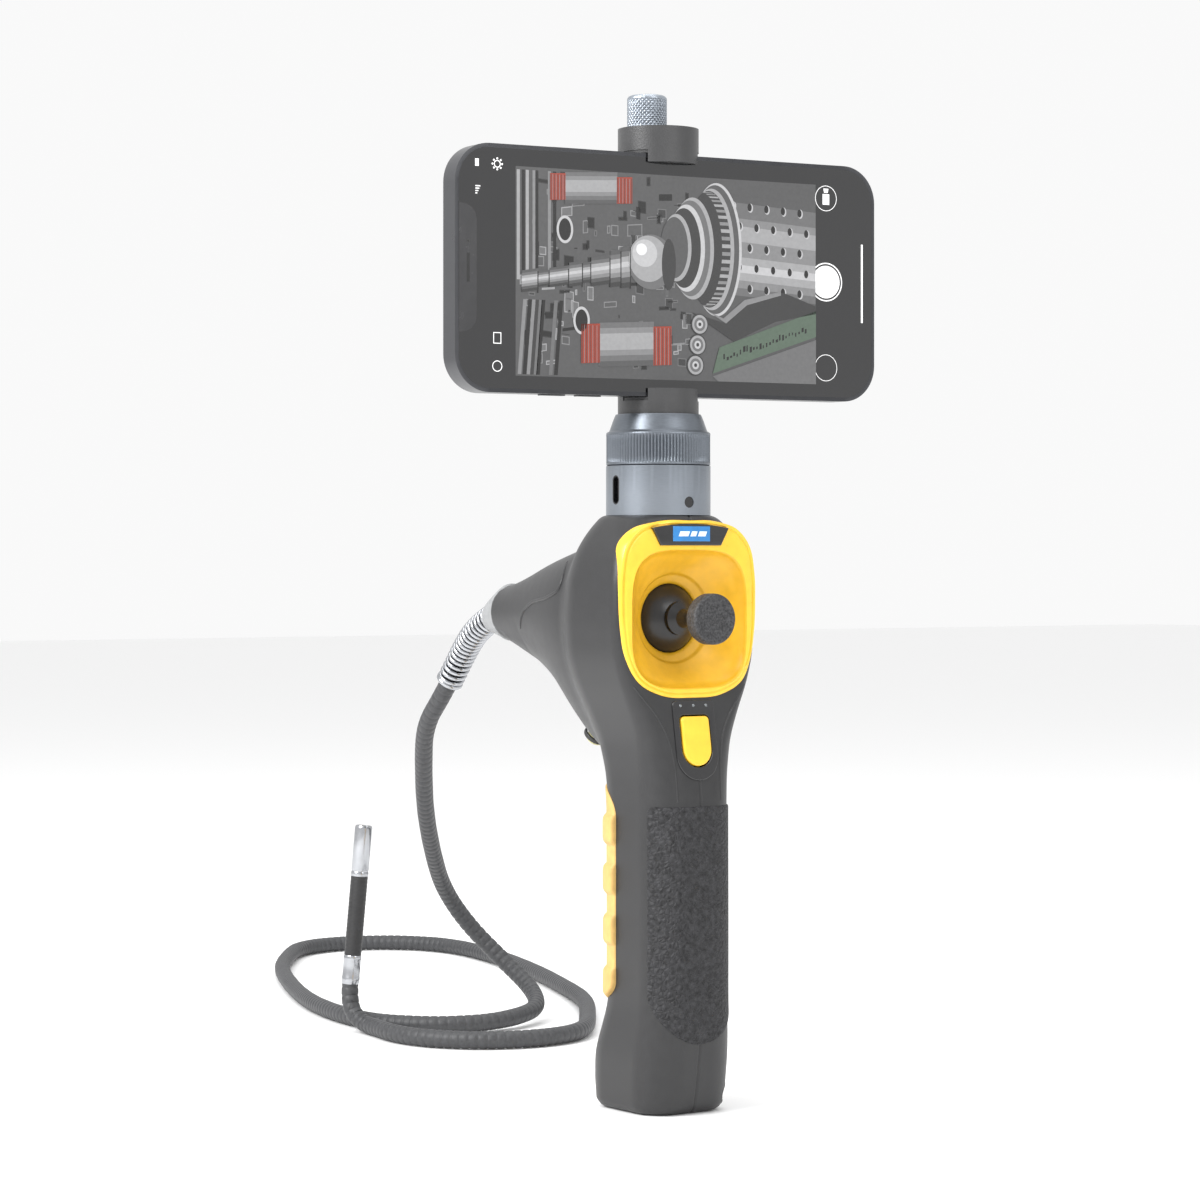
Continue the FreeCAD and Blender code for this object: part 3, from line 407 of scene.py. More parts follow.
# ----------------------------------------------------------------- the probe
QD = Vector((0.06974242864274144, -0.04981602045910108, 0.9963204091820214))
E1 = Vector((0.9975650322896307, 0.0034827706862979604, -0.06965541372595918))
E2 = Vector((0.0, 0.9987523388778445, 0.04993761694389224))
P0 = Vector((13.1, 214.3, 18.4))
PF = Matrix.Translation(P0) @ Matrix((E1, E2, QD)).transposed().to_4x4()
HS = (12.5, 17.3, 22.1, 26.9, 31.7, 36.5)
v, f = revolve([(2.6, -1.2), (3.1, -1.0), (3.42, -0.4), (3.42, 1.6), (3.30, 1.9), (3.30, 8.0), (3.36, 8.2),
                (3.36, 9.3), (3.1, 9.9), (2.6, 9.9)], 48, PF)
tipf = piece("tip_collar", v, f, "bright_steel", rep=("tip_ferrule",), sharp=40)
cuts = [9.9] + [(a + b) / 2 for a, b in zip(HS, HS[1:])] + [39.5]
for i in range(6):
    z0, z1 = cuts[i], cuts[i + 1]
    rows = []
    m = 22
    for k in range(m + 1):
        z = z0 + (z1 - z0) * k / m
        rows.append((3.19 + 0.035 * math.sin(z * 2 * math.pi / 1.6), z))
    vv, ff = revolve(rows, 40, PF)
    ff = ff[:-2]
    sk = piece("tip_skin_%d" % (i + 1), vv, ff, "skin_rubber", sharp=70, ride=False,
               rep=("bending_skin",) if i == 0 else ())
    a = (PF @ Vector((0, 0, max(z0, HS[i] - 2.3)))) * MM
    b = (PF @ Vector((0, 0, min(z1, HS[i] + 2.3)))) * MM
    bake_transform(sk)
v, f = revolve([(2.5, 39.3), (3.05, 39.3), (3.28, 39.7), (3.28, 41.0), (3.14, 41.2), (3.14, 41.7), (3.28, 41.9),
                (3.28, 57.6), (3.18, 58.1), (2.95, 58.5), (2.72, 58.5), (2.66, 58.1), (2.64, 57.0), (2.0, 57.0)], 64, PF)
headp = piece("head_shell", v, f, "bright_steel", body="probe_head", rep=("camera_head",), sharp=35)
v, f = revolve([(0.85, 57.0), (2.62, 57.0), (2.62, 57.75), (2.5, 57.85), (1.3, 57.85), (1.2, 57.7), (0.85, 57.7)], 48, PF)
led = piece("led_board_ring", v, f, "led_board", body="probe_head", rep=("led_ring",))
for k in range(6):
    a = math.radians(60 * k + 30)
    Mk = PF @ Matrix.Translation((1.88 * math.cos(a), 1.88 * math.sin(a), 57.85)) @ Matrix.Rotation(a, 4, "Z")
    plate("led_chip_%d" % (k + 1), [(-0.34, -0.34), (0.34, -0.34), (0.34, 0.34), (-0.34, 0.34)], [], 0, 0.22, 0.05,
          Mk, "led_chip", "probe_head")

# ---------------------------------------------------- handle: one moulded skin
BODY = [
    (0.0, 15.2, -17.6, 16.4, 9.0, 9.0), (2.6, 16.8, -19.6, 18.4, 11.0, 11.0), (9.0, 17.3, -21.0, 19.1, 12.0, 12.0),
    (18.0, 17.5, -22.2, 19.1, 12.5, 12.5), (26.0, 16.7, -23.3, 16.0, 12.3, 12.0), (34.0, 16.0, -23.5, 13.6, 12.0, 12.0),
    (60.0, 16.0, -23.5, 13.5, 12.0, 12.0), (98.0, 16.0, -23.3, 13.6, 12.0, 12.0), (108.0, 16.3, -22.1, 14.4, 10.5, 12.0),
    (119.0, 17.6, -20.3, 16.6, 8.0, 12.0), (128.0, 20.8, -18.8, 19.0, 6.0, 12.5), (136.0, 24.4, -17.6, 21.0, 4.6, 13.5),
    (145.0, 27.1, -16.9, 22.5, 4.0, 14.5), (157.0, 28.1, -16.6, 23.0, 3.8, 15.5), (170.0, 27.8, -16.6, 22.5, 4.0, 16.0),
    (179.0, 25.6, -16.7, 21.2, 5.5, 16.5), (186.0, 21.8, -17.0, 19.2, 10.0, 16.5), (190.5, 17.9, -17.3, 17.6, 16.8, 16.8)]
NOSE = [
    (-4.0, 103.0, 184.5, 20.5, 2.3), (8.0, 104.5, 184.6, 23.0, 2.3), (18.0, 108.9, 183.4, 23.3, 2.3),
    (27.0, 114.3, 181.6, 22.4, 2.3), (35.0, 121.0, 179.8, 20.8, 2.3), (44.0, 129.6, 177.8, 18.6, 2.25),
    (53.0, 135.6, 175.6, 16.2, 2.2), (62.0, 140.2, 172.8, 13.9, 2.15), (71.0, 144.0, 170.2, 11.8, 2.1),
    (80.0, 147.6, 168.0, 9.9, 2.05), (90.0, 150.7, 166.5, 7.9, 2.0)]
ZW = 158.6


def eased(rows, sigma, start):
    """The same table, resampled finely and eased so that the skin has no kinks past start."""
    A = np.array(rows, float)
    z = np.arange(A[0, 0], A[-1, 0] + 1e-6, 0.5)
    B = np.stack([z] + [np.interp(z, A[:, 0], A[:, k]) for k in range(1, A.shape[1])], 1)
    k = np.exp(-0.5 * (np.arange(-24, 25) * 0.5 / sigma) ** 2)
    k /= k.sum()
    C_ = B.copy()
    for c in range(1, B.shape[1]):
        lo_ = 2 * B[0, c] - B[24:0:-1, c]
        hi_ = 2 * B[-1, c] - B[-2:-26:-1, c]
        C_[:, c] = np.convolve(np.concatenate([lo_, B[:, c], hi_]), k, "valid")
    w = np.clip((z - start) / 5.0, 0, 1)[:, None]
    C_[:, 1:] = B[:, 1:] * (1 - w) + C_[:, 1:] * w
    return C_


BODY = eased(BODY, 2.6, 8.0)
NOSE = eased(NOSE, 3.0, -10.0)


def body_sd(x, y, z):
    hx, yf, yb, rf, rb = rows_at(BODY, z)
    cy, hy = (yf + yb) / 2, (yb - yf) / 2
    r = np.where(y < cy, rf, rb)
    r = np.minimum(r, hx - 0.3)
    qx, qy = np.abs(x) - hx + r, np.abs(y - cy) - hy + r
    d = np.minimum(np.maximum(qx, qy), 0) + np.hypot(np.maximum(qx, 0), np.maximum(qy, 0)) - r
    e = np.maximum(-z, z - 190.5)
    k = 1.6
    h = np.clip(0.5 - 0.5 * (d - e) / k, 0, 1)
    return d * (1 - h) + e * h + k * h * (1 - h)


def nose_sd(x, y, z):
    zl, zu, hw, n = rows_at(NOSE, y)
    dz = z - ZW
    hh = np.where(dz >= 0, zu - ZW, ZW - zl)
    n = np.where(dz >= 0, n, n - 0.62 * np.clip((84.0 - y) / 20.0, 0, 1))
    s = (np.abs(x / hw) ** n + np.abs(dz / hh) ** n + 1e-9) ** (1 / n)
    rad = np.hypot(x, dz)
    d = np.where(s > 0.2, rad * (1 - 1 / np.maximum(s, 0.2)), -8.0) * 0.95
    e = np.maximum(y - 85.0, -4.0 - y)
    return np.maximum(d, e)


def sd(x, y, z, k=4.5):
    a, b = body_sd(x, y, z), nose_sd(x, y, z)
    h = np.clip(0.5 + 0.5 * (b - a) / k, 0, 1)
    return b * (1 - h) + a * h - k * h * (1 - h)


def surf(p, d, lo=-6.0, hi=14.0):
    """How far along d (from outside, inward is +) the skin lies from each point."""
    p, d = np.array(p, float).reshape(-1, 3), np.array(d, float).reshape(-1, 3)
    a, b = np.full(len(p), lo), np.full(len(p), hi)
    for _ in range(34):
        m = (a + b) / 2
        q = p + d * m[:, None]
        out = sd(q[:, 0], q[:, 1], q[:, 2]) > 0
        a, b = np.where(out, m, a), np.where(out, b, m)
    return (a + b) / 2


H = 0.9
gx, gy, gz = np.arange(-30.15, 30.2, H), np.arange(-26.3, 92, H), np.arange(-1.7, 192.5, H)
X, Y, Z = np.meshgrid(gx, gy, gz, indexing="ij")
F = sd(X, Y, Z)
IN = F < 0
nx, ny, nz = F.shape
cnt = np.zeros((nx - 1, ny - 1, nz - 1), np.int8)
for o in np.ndindex(2, 2, 2):
    cnt += IN[o[0]:nx - 1 + o[0], o[1]:ny - 1 + o[1], o[2]:nz - 1 + o[2]]
act = (cnt > 0) & (cnt < 8)
idx = np.full(act.shape, -1, int)
idx[act] = np.arange(act.sum())
C = np.argwhere(act)
acc, num = np.zeros((len(C), 3)), np.zeros(len(C))
for ax in range(3):
    for o in np.ndindex(2, 2, 2):
        if o[ax]:
            continue
        c0 = C + np.array(o)
        c1 = c0.copy()
        c1[:, ax] += 1
        f0, f1 = F[tuple(c0.T)], F[tuple(c1.T)]
        m = (f0 < 0) != (f1 < 0)
        t = np.where(m, f0 / np.where(m, f0 - f1, 1), 0)
        q = c0.astype(float)
        q[:, ax] += t
        acc += np.where(m[:, None], q, 0)
        num += m
VS = acc / num[:, None] * H + np.array([gx[0], gy[0], gz[0]])
for _ in range(3):
    e = 0.05
    f0 = sd(*VS.T)
    g = np.stack([sd(VS[:, 0] + e, VS[:, 1], VS[:, 2]) - sd(VS[:, 0] - e, VS[:, 1], VS[:, 2]),
                  sd(VS[:, 0], VS[:, 1] + e, VS[:, 2]) - sd(VS[:, 0], VS[:, 1] - e, VS[:, 2]),
                  sd(VS[:, 0], VS[:, 1], VS[:, 2] + e) - sd(VS[:, 0], VS[:, 1], VS[:, 2] - e)], 1) / (2 * e)
    stp = -f0[:, None] * g / np.maximum((g ** 2).sum(1), 0.3)[:, None]
    VS += np.clip(stp, -0.5, 0.5)
FS = []
for ax in range(3):
    s0 = [slice(None)] * 3
    s1 = [slice(None)] * 3
    s0[ax], s1[ax] = slice(0, -1), slice(1, None)
    ch = np.argwhere(IN[tuple(s0)] != IN[tuple(s1)])
    b, c = (ax + 1) % 3, (ax + 2) % 3
    lim = np.array(act.shape)
    ok = (ch[:, b] > 0) & (ch[:, c] > 0) & (ch[:, b] < lim[b]) & (ch[:, c] < lim[c])
    ch = ch[ok]
    quad = []
    for db, dc in ((-1, -1), (0, -1), (0, 0), (-1, 0)):
        w = ch.copy()
        w[:, b] += db
        w[:, c] += dc
        quad.append(idx[tuple(w.T)])
    FS.append(np.stack(quad, 1))
FS = np.vstack(FS)
PMo, PMu, PMt, PMn = np.array([0, -20.3, 119.0]), np.array([1.0, 0, 0]), np.array([0, .1628, .9867]), np.array([0, -.9867, .1628])
KMo, KMu, KMt, KMn = np.array([0, 32.6, 118.2]), np.array([-1.0, 0, 0]), np.array([0, .772, .636]), np.array([0, .636, -.772])
BEZ = [(0, 188.5), (12, 188.1), (19.2, 185.9), (24.2, 180.6), (26.2, 172.0), (26.5, 163.0),
       (26.1, 154.0), (24.6, 145.4), (20.2, 137.6), (12.2, 133.6), (0, 132.6)]
bz = BEZ + [(-x, z) for x, z in reversed(BEZ[1:-1])]
ba = np.array([math.atan2(z - 160.5, x) for x, z in bz])
br = np.array([math.hypot(x, z - 160.5) for x, z in bz])
o_ = np.argsort(ba)
ba, br = ba[o_], br[o_]
ba = np.concatenate([ba - 2 * math.pi, ba, ba + 2 * math.pi])
br = np.tile(br, 3)


def cub(a):
    """Smooth outline radius at angle a (Catmull-Rom through the table)."""
    a = np.atleast_1d(a)
    i = np.clip(np.searchsorted(ba, a) - 1, 1, len(ba) - 3)
    h = ba[i + 1] - ba[i]
    t = (a - ba[i]) / h
    m0 = (br[i + 1] - br[i - 1]) / (ba[i + 1] - ba[i - 1]) * h
    m1 = (br[i + 2] - br[i]) / (ba[i + 2] - ba[i]) * h
    return ((2 * t ** 3 - 3 * t ** 2 + 1) * br[i] + (t ** 3 - 2 * t ** 2 + t) * m0
            + (-2 * t ** 3 + 3 * t ** 2) * br[i + 1] + (t ** 3 - t ** 2) * m1)


SCREWS = [(-15.0, 5.0, 13.0), (10.0, 16.0, 16.6), (6.6, 86.0, 13.0), (13.0, 178.6, 22.6), (34.0, 138.0, 17.5), (62.0, 146.0, 11.9)]
CT = VS[FS].mean(1)
dx, dz = CT[:, 0], CT[:, 2] - 160.5
drop = (CT[:, 1] < -8) & (np.hypot(dx, dz) < cub(np.arctan2(dz, dx)) - 1.1)
q = CT - PMo
drop |= (np.abs(q @ PMu) < 7.2) & (q @ PMt < 11.6) & (CT[:, 1] < 0) & ((q @ PMt > -4.8) | (np.hypot(q @ PMu, q @ PMt + 4.8) < 7.0))
q = CT - KMo
drop |= (np.abs(q @ KMu) < 4.3) & (np.abs(q @ KMt) < 2.8) & (np.abs(q @ KMn) < 4)
for sy, sz, shx in SCREWS:
    drop |= (CT[:, 0] > 4) & (np.hypot(CT[:, 1] - sy, CT[:, 2] - sz) < 2.7)
FS = FS[~drop]
me = bpy.data.meshes.new("housing_skin")
me.from_pydata((VS * MM).tolist(), [], FS.tolist())
bm = bmesh.new()
bm.from_mesh(me)
for c in (-0.5, -0.12, 0.12, 0.5):
    bmesh.ops.bisect_plane(bm, geom=bm.verts[:] + bm.edges[:] + bm.faces[:], plane_co=(c * MM, 0, 0), plane_no=(1, 0, 0))
bmesh.ops.delete(bm, geom=[w for w in bm.verts if not w.link_faces], context="VERTS")
bmesh.ops.recalc_face_normals(bm, faces=bm.faces)
bm.normal_update()
for w in bm.verts:
    if abs(w.co.x) < 0.2 * MM:
        w.co -= w.normal * 0.32 * MM
bm.to_mesh(me)
bm.free()
finish_mesh(me, 50)
skin = bpy.data.objects.new("housing_skin", me)
bpy.context.scene.collection.objects.link(skin)
me.materials.append(MAT["black_plastic"])
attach(skin, "root")
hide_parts("housing_left", "housing_right")
SCX = []
for i, (sy, sz, shx) in enumerate(SCREWS):
    n = 48
    xs = 30 - float(surf([[30.0, sy, sz]], [[-1.0, 0, 0]], 0, 28)[0])
    shx = min(shx, xs - 0.3)
    SCX.append((shx, sy, sz))
    vv, rows = [], [(2.75, None, -3.4), (2.75, 1, 0.02), (2.9, 1, 0.16), (3.35, 1, 0.16), (3.55, 1, -0.1)]
    for r, fol, off in rows:
        ring = np.array([[30.0, sy + r * math.cos(2 * math.pi * k / n), sz + r * math.sin(2 * math.pi * k / n)] for k in range(n)])
        if fol:
            ring[:, 0] = 30 - surf(ring, np.tile([-1.0, 0, 0], (n, 1)), 0, 28) + off
        else:
            ring[:, 0] = shx + off
        vv += ring.tolist()
    piece("screw_eyelet_%d" % (i + 1), vv, grid_faces(len(rows), n, wrap_c=True), "black_plastic", sharp=50)

# screw heads, seated under the skin
XZ = Matrix(((1, 0, 0, 0), (0, 0, -1, 0), (0, 1, 0, 0), (0, 0, 0, 1)))
circ = [(2.55 * math.cos(t), 2.55 * math.sin(t)) for t in np.linspace(0, 2 * math.pi, 40, endpoint=False)]
cross = [(1.7, 0.32), (0.32, 0.32), (0.32, 1.7), (-0.32, 1.7), (-0.32, 0.32), (-1.7, 0.32), (-1.7, -0.32),
         (-0.32, -0.32), (-0.32, -1.7), (0.32, -1.7), (0.32, -0.32), (1.7, -0.32)]
for i, (shx, sy, sz) in enumerate(SCX):
    SM = Matrix(((0, 0, 1, shx - 1.4), (1, 0, 0, sy), (0, 1, 0, sz), (0, 0, 0, 1))) @ Matrix.Rotation(0.7 * i, 4, "Z")
    plate("screw_head_%d" % (i + 1), circ, [list(reversed(cross))], -1.0, 0.0, 0.2, SM, "steel", rep=("housing_screws",) if i == 0 else ())
    plate("screw_core_%d" % (i + 1), [(p[0] * 0.92, p[1] * 0.92) for p in circ], [], -2.6, -0.75, 0.1, SM, "steel")
GM = Matrix.Translation((0, 45.2, 0)) @ XZ
plate("wire_guide_plate", [(12.2 * math.cos(t), 156.5 + 13.0 * math.sin(t)) for t in np.linspace(0, 2 * math.pi, 60, endpoint=False)],
      [[(2.0 * math.cos(t), 158.6 - 2.0 * math.sin(t)) for t in np.linspace(0, 2 * math.pi, 24, endpoint=False)]], -1.2, 1.2, 0.2,
      GM, "inner_plastic", rep=("wire_guide",))
# grey ferrule behind the nose's end
vv, prof = [], [(84.4, 8.2, 9.2, 158.3), (84.9, 8.75, 9.8, 158.3), (85.3, 8.75, 9.8, 158.3), (85.6, 8.5, 9.5, 158.3),
                (86.2, 8.4, 9.3, 158.25), (88.5, 7.9, 8.5, 158.0), (91.0, 7.2, 7.5, 157.6), (93.5, 6.4, 6.6, 157.2),
                (95.5, 5.6, 5.7, 156.9), (96.6, 5.1, 5.2, 156.6), (97.0, 4.6, 4.7, 156.5), (96.6, 3.4, 3.4, 156.6)]
for y, a, b, zc in prof:
    for k in range(64):
        t = 2 * math.pi * k / 64
        vv.append((a * math.cos(t), y, zc + b * math.sin(t)))
piece("nozzle_cone", vv, grid_faces(len(prof), 64, wrap_c=True), "ferrule_grey", rep=("nozzle_ferrule",), sharp=50)


def on_skin(pts, n=90):
    """A smooth line through points, laid on the skin's -X side from (y, z)."""
    A = np.array(pts, float)
    d = np.concatenate([[0], np.cumsum(np.linalg.norm(np.diff(A, axis=0), axis=1))])
    t = np.linspace(0, d[-1], n)
    yz = np.stack([np.interp(t, d, A[:, 0]), np.interp(t, d, A[:, 1])], 1)
    for _ in range(14):
        yz[1:-1] = (yz[:-2] + 2 * yz[1:-1] + yz[2:]) / 4
    p = np.stack([np.full(n, -40.0), yz[:, 0], yz[:, 1]], 1)
    p[:, 0] = -40 + surf(p, np.tile([1.0, 0, 0], (n, 1)), 0, 39)
    return p


rid = on_skin([(28.5, 175.5), (25.2, 171.6), (24.2, 168.4), (26.0, 165.8), (34.5, 163.6), (46.5, 162.3), (54.5, 159.5), (58.5, 156.1), (60.5, 153.4)])
wd = np.sin(np.linspace(0.12, math.pi - 0.12, len(rid))) ** 0.5
for sg in (1, -1):
    R_ = rid.copy()
    R_[:, 0] = sg * (R_[:, 0] + 0.12)
    v, f = tube(R_, 0.25 + 0.42 * wd, n=12)
    piece("nose_ridge_" + ("left" if sg > 0 else "right"), v, f, "black_plastic", sharp=80)
    F_ = []
    for x, z in ((-21.8, 136.2), (-19.6, 133.2), (-14.4, 127.2), (-10.9, 120.8), (-9.2, 114.0), (-8.6, 107.0), (-8.5, 99.5)):
        p = np.array([[x, -40.0, z]])
        F_.append((x, -40 + float(surf(p, [[0, 1.0, 0]], 0, 38)[0]) + 0.22, z))
    F_ = np.array(F_)
    d_ = np.concatenate([[0], np.cumsum(np.linalg.norm(np.diff(F_, axis=0), axis=1))])
    t_ = np.linspace(0, d_[-1], 70)
    F_ = np.stack([np.interp(t_, d_, F_[:, k]) for k in range(3)], 1)
    for _ in range(25):
        F_[1:-1] = (F_[:-2] + 2 * F_[1:-1] + F_[2:]) / 4
    F_[:, 1] = -40 + surf(np.stack([F_[:, 0], np.full(70, -40.0), F_[:, 2]], 1), np.tile([0, 1.0, 0], (70, 1)), 0, 38) + 0.2
    F_[:, 0] *= sg
    v, f = tube(F_, 0.40, n=12)
    piece("facet_edge_" + ("left" if sg > 0 else "right"), v, f, "black_plastic", sharp=80)
# --------------------------------------------------------------- yellow bezel
n = 200
aa = np.linspace(0, 2 * math.pi, n, endpoint=False)
aw = (aa + math.pi) % (2 * math.pi) - math.pi
R0 = cub(aw)
rings = []


def follow(g, h):
    r = R0 + g
    p = np.stack([r * np.cos(aa), np.full(n, -40.0), 160.5 + r * np.sin(aa)], 1)
    y = -40 + surf(p, np.tile([0, 1.0, 0], (n, 1)), 0, 38) - h
    p[:, 1] = y if h < 0 else np.minimum(y, -16.3 - h)
    return p


def bowl(fx, fz, zc, nn, y):
    c, s = np.cos(aa), np.sin(aa)
    m = (np.abs(c) ** nn + np.abs(s) ** nn) ** (-1 / nn)
    return np.stack([fx * c * m, np.full(n, y), zc + fz * s * m], 1)


edge = [follow(0.25, -0.9), follow(0.25, 0.15), follow(0.0, 0.42), follow(-0.35, 0.52), follow(-0.75, 0.46),
        follow(-0.95, 0.15), follow(-1.25, 0.12), follow(-1.5, 0.46), follow(-1.9, 0.56)]
rim = bowl(22.75, 22.25, 157.3, 3.7, -17.3)
sk = -40 + surf(np.stack([rim[:, 0], np.full(n, -40.0), rim[:, 2]], 1), np.tile([0, 1.0, 0], (n, 1)), 0, 38)
rim[:, 1] = np.minimum(rim[:, 1], sk - 0.45)
mid = (edge[-1] * 0.4 + rim * 0.6)
lip = [bowl(22.5, 22.0, 157.3, 3.65, -17.15), bowl(22.3, 21.8, 157.3, 3.6, -16.7)]
for q_, up in zip(lip, (0.15, 0.6)):
    q_[:, 1] = rim[:, 1] + up
cup = [rim] + lip + [bowl(22.1, 21.6, 157.3, 3.55, -16.0),
       bowl(20.4, 20.0, 157.33, 3.2, -14.3), bowl(18.8, 18.5, 157.37, 2.85, -12.6), bowl(17.2, 17.0, 157.4, 2.6, -11.0),
       bowl(15.6, 15.5, 157.45, 2.3, -9.6), bowl(14.7, 14.7, 157.48, 2.1, -8.9), bowl(14.4, 14.4, 157.5, 2.0, -8.55),
       bowl(14.2, 14.2, 157.5, 2.0, -7.9), bowl(13.6, 13.6, 157.5, 2.0, -7.5), bowl(12.2, 12.2, 157.5, 2.0, -6.7),
       bowl(11.3, 11.3, 157.5, 2.0, -6.1), bowl(11.1, 11.1, 157.5, 2.0, -5.7), bowl(11.2, 11.2, 157.5, 2.0, -5.0)]
v = np.vstack(edge + [mid, rim])
bez = piece("bezel_rim", v, grid_faces(len(edge) + 2, n, wrap_c=True), "yellow_plastic", rep=("joystick_bezel",), sharp=50)
v = np.vstack(cup)
# the bowl is part of the yellow bezel; its darker yellow is painted shade for the recess
bowlp = piece("bezel_bowl", v, grid_faces(len(cup), n, wrap_c=True), "bowl_yellow_painted_shade", sharp=50)
XZ = Matrix(((1, 0, 0, 0), (0, 0, -1, 0), (0, 1, 0, 0), (0, 0, 0, 1)))
bt = [(x, 187.75 - 0.0062 * x * x) for x in np.linspace(-15.0, 15.0, 21)]
plate("badge_frame", bt + [(11.9, 180.8), (-11.9, 180.8)], [], 16.3, 18.05, 0.3, XZ, "dark_gloss", rep=("badge_plate",))
plate("badge_window", [(-7.3, 182.1), (7.3, 182.1), (7.3, 186.9), (-7.3, 186.9)], [], 17.7, 18.2, 0.15, XZ, "blue_inlay", rep=("badge_inlay",))
for i, (x0, x1) in enumerate(((-5.2, -1.4), (-0.6, 1.6), (2.4, 5.4))):
    plate("badge_bar_%d" % (i + 1), [(x0, 183.7), (x1, 183.7), (x1 + 0.7, 185.3), (x0 + 0.7, 185.3)], [], 18.0, 18.28, 0.08, XZ,
          "badge_white")
PM4 = Matrix(((1, 0, 0, 0), (0, .1628, -.9867, -20.3), (0, .9867, .1628, 119.0), (0, 0, 0, 1)))
KM4 = Matrix(((-1, 0, 0, 0), (0, .772, .636, 32.6), (0, .636, -.772, 118.2), (0, 0, 0, 1)))


def tomb(w, v0, v1, rt):
    h = w / 2
    p = [(h * math.cos(a), v0 + h + h * math.sin(a)) for a in np.linspace(math.pi, 2 * math.pi, 40)]
    p += [(h - rt + rt * math.cos(a), v1 - rt + rt * math.sin(a)) for a in np.linspace(0, math.pi / 2, 8)]
    p += [(-h + rt + rt * math.cos(a), v1 - rt + rt * math.sin(a)) for a in np.linspace(math.pi / 2, math.pi, 8)]
    return p


plate("button_panel_gloss", tomb(16.4, -13.0, 12.6, 1.5), [list(reversed(tomb(11.7, -8.75, 7.95, 1.7)))], -0.9, 0.42, 0.3,
      PM4, "dark_gloss", rep=("button_panel",))
plate("mode_button_cap", tomb(10.9, -8.35, 7.55, 1.5), [], -2.5, 0.95, 0.7, PM4, "yellow_plastic", "mode_button",
      rep=("mode_button",), res=5)
vv, ff = [], []
for u in (-5.0, 0.0, 5.0):
    a, b = revolve([(0.5, 0.35), (0.5, 0.46), (0.42, 0.55), (0.25, 0.62), (0.03, 0.65)], 24, PM4 @ Matrix.Translation((u, 11.0, 0)))
    ff += [tuple(i + len(vv) for i in q) for q in b]
    vv += a
piece("indicator_domes", vv, ff, "clear_lens", rep=("indicator_lenses",), sharp=60)
stad = [(1.5 + 3 * math.cos(a), 3 * math.sin(a)) for a in np.linspace(-math.pi / 2, math.pi / 2, 20)]
stad += [(-1.5 + 3 * math.cos(a), 3 * math.sin(a)) for a in np.linspace(math.pi / 2, 3 * math.pi / 2, 20)]
plate("rear_button_cap", stad, [], -4.0, 2.0, 0.8, KM4, "pale_plastic", "rear_button", rep=("rear_button",), res=5)
big = [(p[0] * 1.12, p[1] * 1.18) for p in stad]
plate("rear_button_rim", [(p[0] * 1.3, p[1] * 1.42) for p in stad], [list(reversed(big))], -1.2, 0.35, 0.3, KM4, "black_plastic")


# ------------------------------------------------------------- grips as skins
def section_point(z, s, back):
    """Point and outward normal at distance s round the front or back of the section at height z."""
    hx, yf, yb, rf, rb = [float(v) for v in rows_at(BODY, z)]
    r = rb if back else rf
    y0 = yb if back else yf
    sg = 1 if s >= 0 else -1
    t = abs(s)
    fl = hx - r
    if t <= fl:
        x, y, nx_, ny_ = t, y0, 0.0, 1.0
    elif t <= fl + r * math.pi / 2:
        a = (t - fl) / r
        x, dy = fl + r * math.sin(a), r * (1 - math.cos(a))
        y = y0 - dy if back else y0 + dy
        nx_, ny_ = math.sin(a), math.cos(a)
    else:
        e = t - fl - r * math.pi / 2
        x, y, nx_, ny_ = hx, (y0 - r - e) if back else (y0 + r + e), 1.0, 0.0
    return np.array([sg * x, y, z]), np.array([sg * nx_, ny_ if back else -ny_, 0.0])


def grip(name, zs, smax, back, height, mat, node, nc=76):
    cs = np.sin(np.linspace(-math.pi / 2, math.pi / 2, nc))
    cs = np.sign(cs) * (1 - (1 - np.abs(cs)) ** 0.8)
    V, Hh = [], []
    for z in zs:
        sm = smax(z)
        for c in cs:
            p, nn = section_point(z, c * sm, back)
            V.append(p + nn * height(z, c * sm, sm))
    piece(name, V, grid_faces(len(zs), nc), mat, rep=(node,), sharp=75)


def edge_round(d, r=0.7, base=-0.12):
    t = min(max(d / r, 0), 1)
    return base + (1 - base) * math.sqrt(max(0.0, 1 - (1 - t) ** 2))


PR, PZ0, PZ1 = 15.4, 22.6, 98.0


def palm_s(z):
    h = PR if z > PZ0 + PR else math.sqrt(max(0.0, PR ** 2 - (PZ0 + PR - z) ** 2))
    if z > PZ1 - 1.5:
        h = PR - 1.5 + math.sqrt(max(0.0, 1.5 ** 2 - (z - PZ1 + 1.5) ** 2))
    hx, _, _, rf, _ = [float(v) for v in rows_at(BODY, z)]
    fl = hx - rf
    return max(0.05, h if h < fl else fl + rf * math.asin(min(0.9999, (h - fl) / rf)))


def palm_h(z, s, sm):
    d = min(sm - abs(s), PZ1 - z)
    return 0.55 * edge_round(max(0, d), 0.8, -0.25)


zs = [PZ0 + PR * (1 - math.cos(t)) for t in np.linspace(0.03, math.pi / 2, 26)]
zs += list(np.linspace(PZ0 + PR + 1.2, PZ1 - 1.6, 52)) + [PZ1 - 1.2, PZ1 - 0.8, PZ1 - 0.5, PZ1 - 0.25, PZ1 - 0.08, PZ1]
grip("palm_pad_skin", zs, palm_s, False, palm_h, "grip_rubber", "palm_pad")
BUMPS = (40.7, 57.6, 73.8, 89.7)
FZ0, FZ1 = 35.0, 104.6


def fin_s(z):
    hx, _, yb, _, rb = [float(v) for v in rows_at(BODY, z)]
    full = (hx - rb) + rb * math.pi / 2 + max(0.0, yb - rb - 1.0)
    e = min(1.0, max(0.0, (FZ1 - z) / 11.0))
    g = min(1.0, max(0.0, (z - FZ0) / 6.0))
    return full * (0.30 + 0.70 * math.sqrt(1 - (1 - e) ** 2)) * (0.55 + 0.45 * math.sqrt(1 - (1 - g) ** 2))


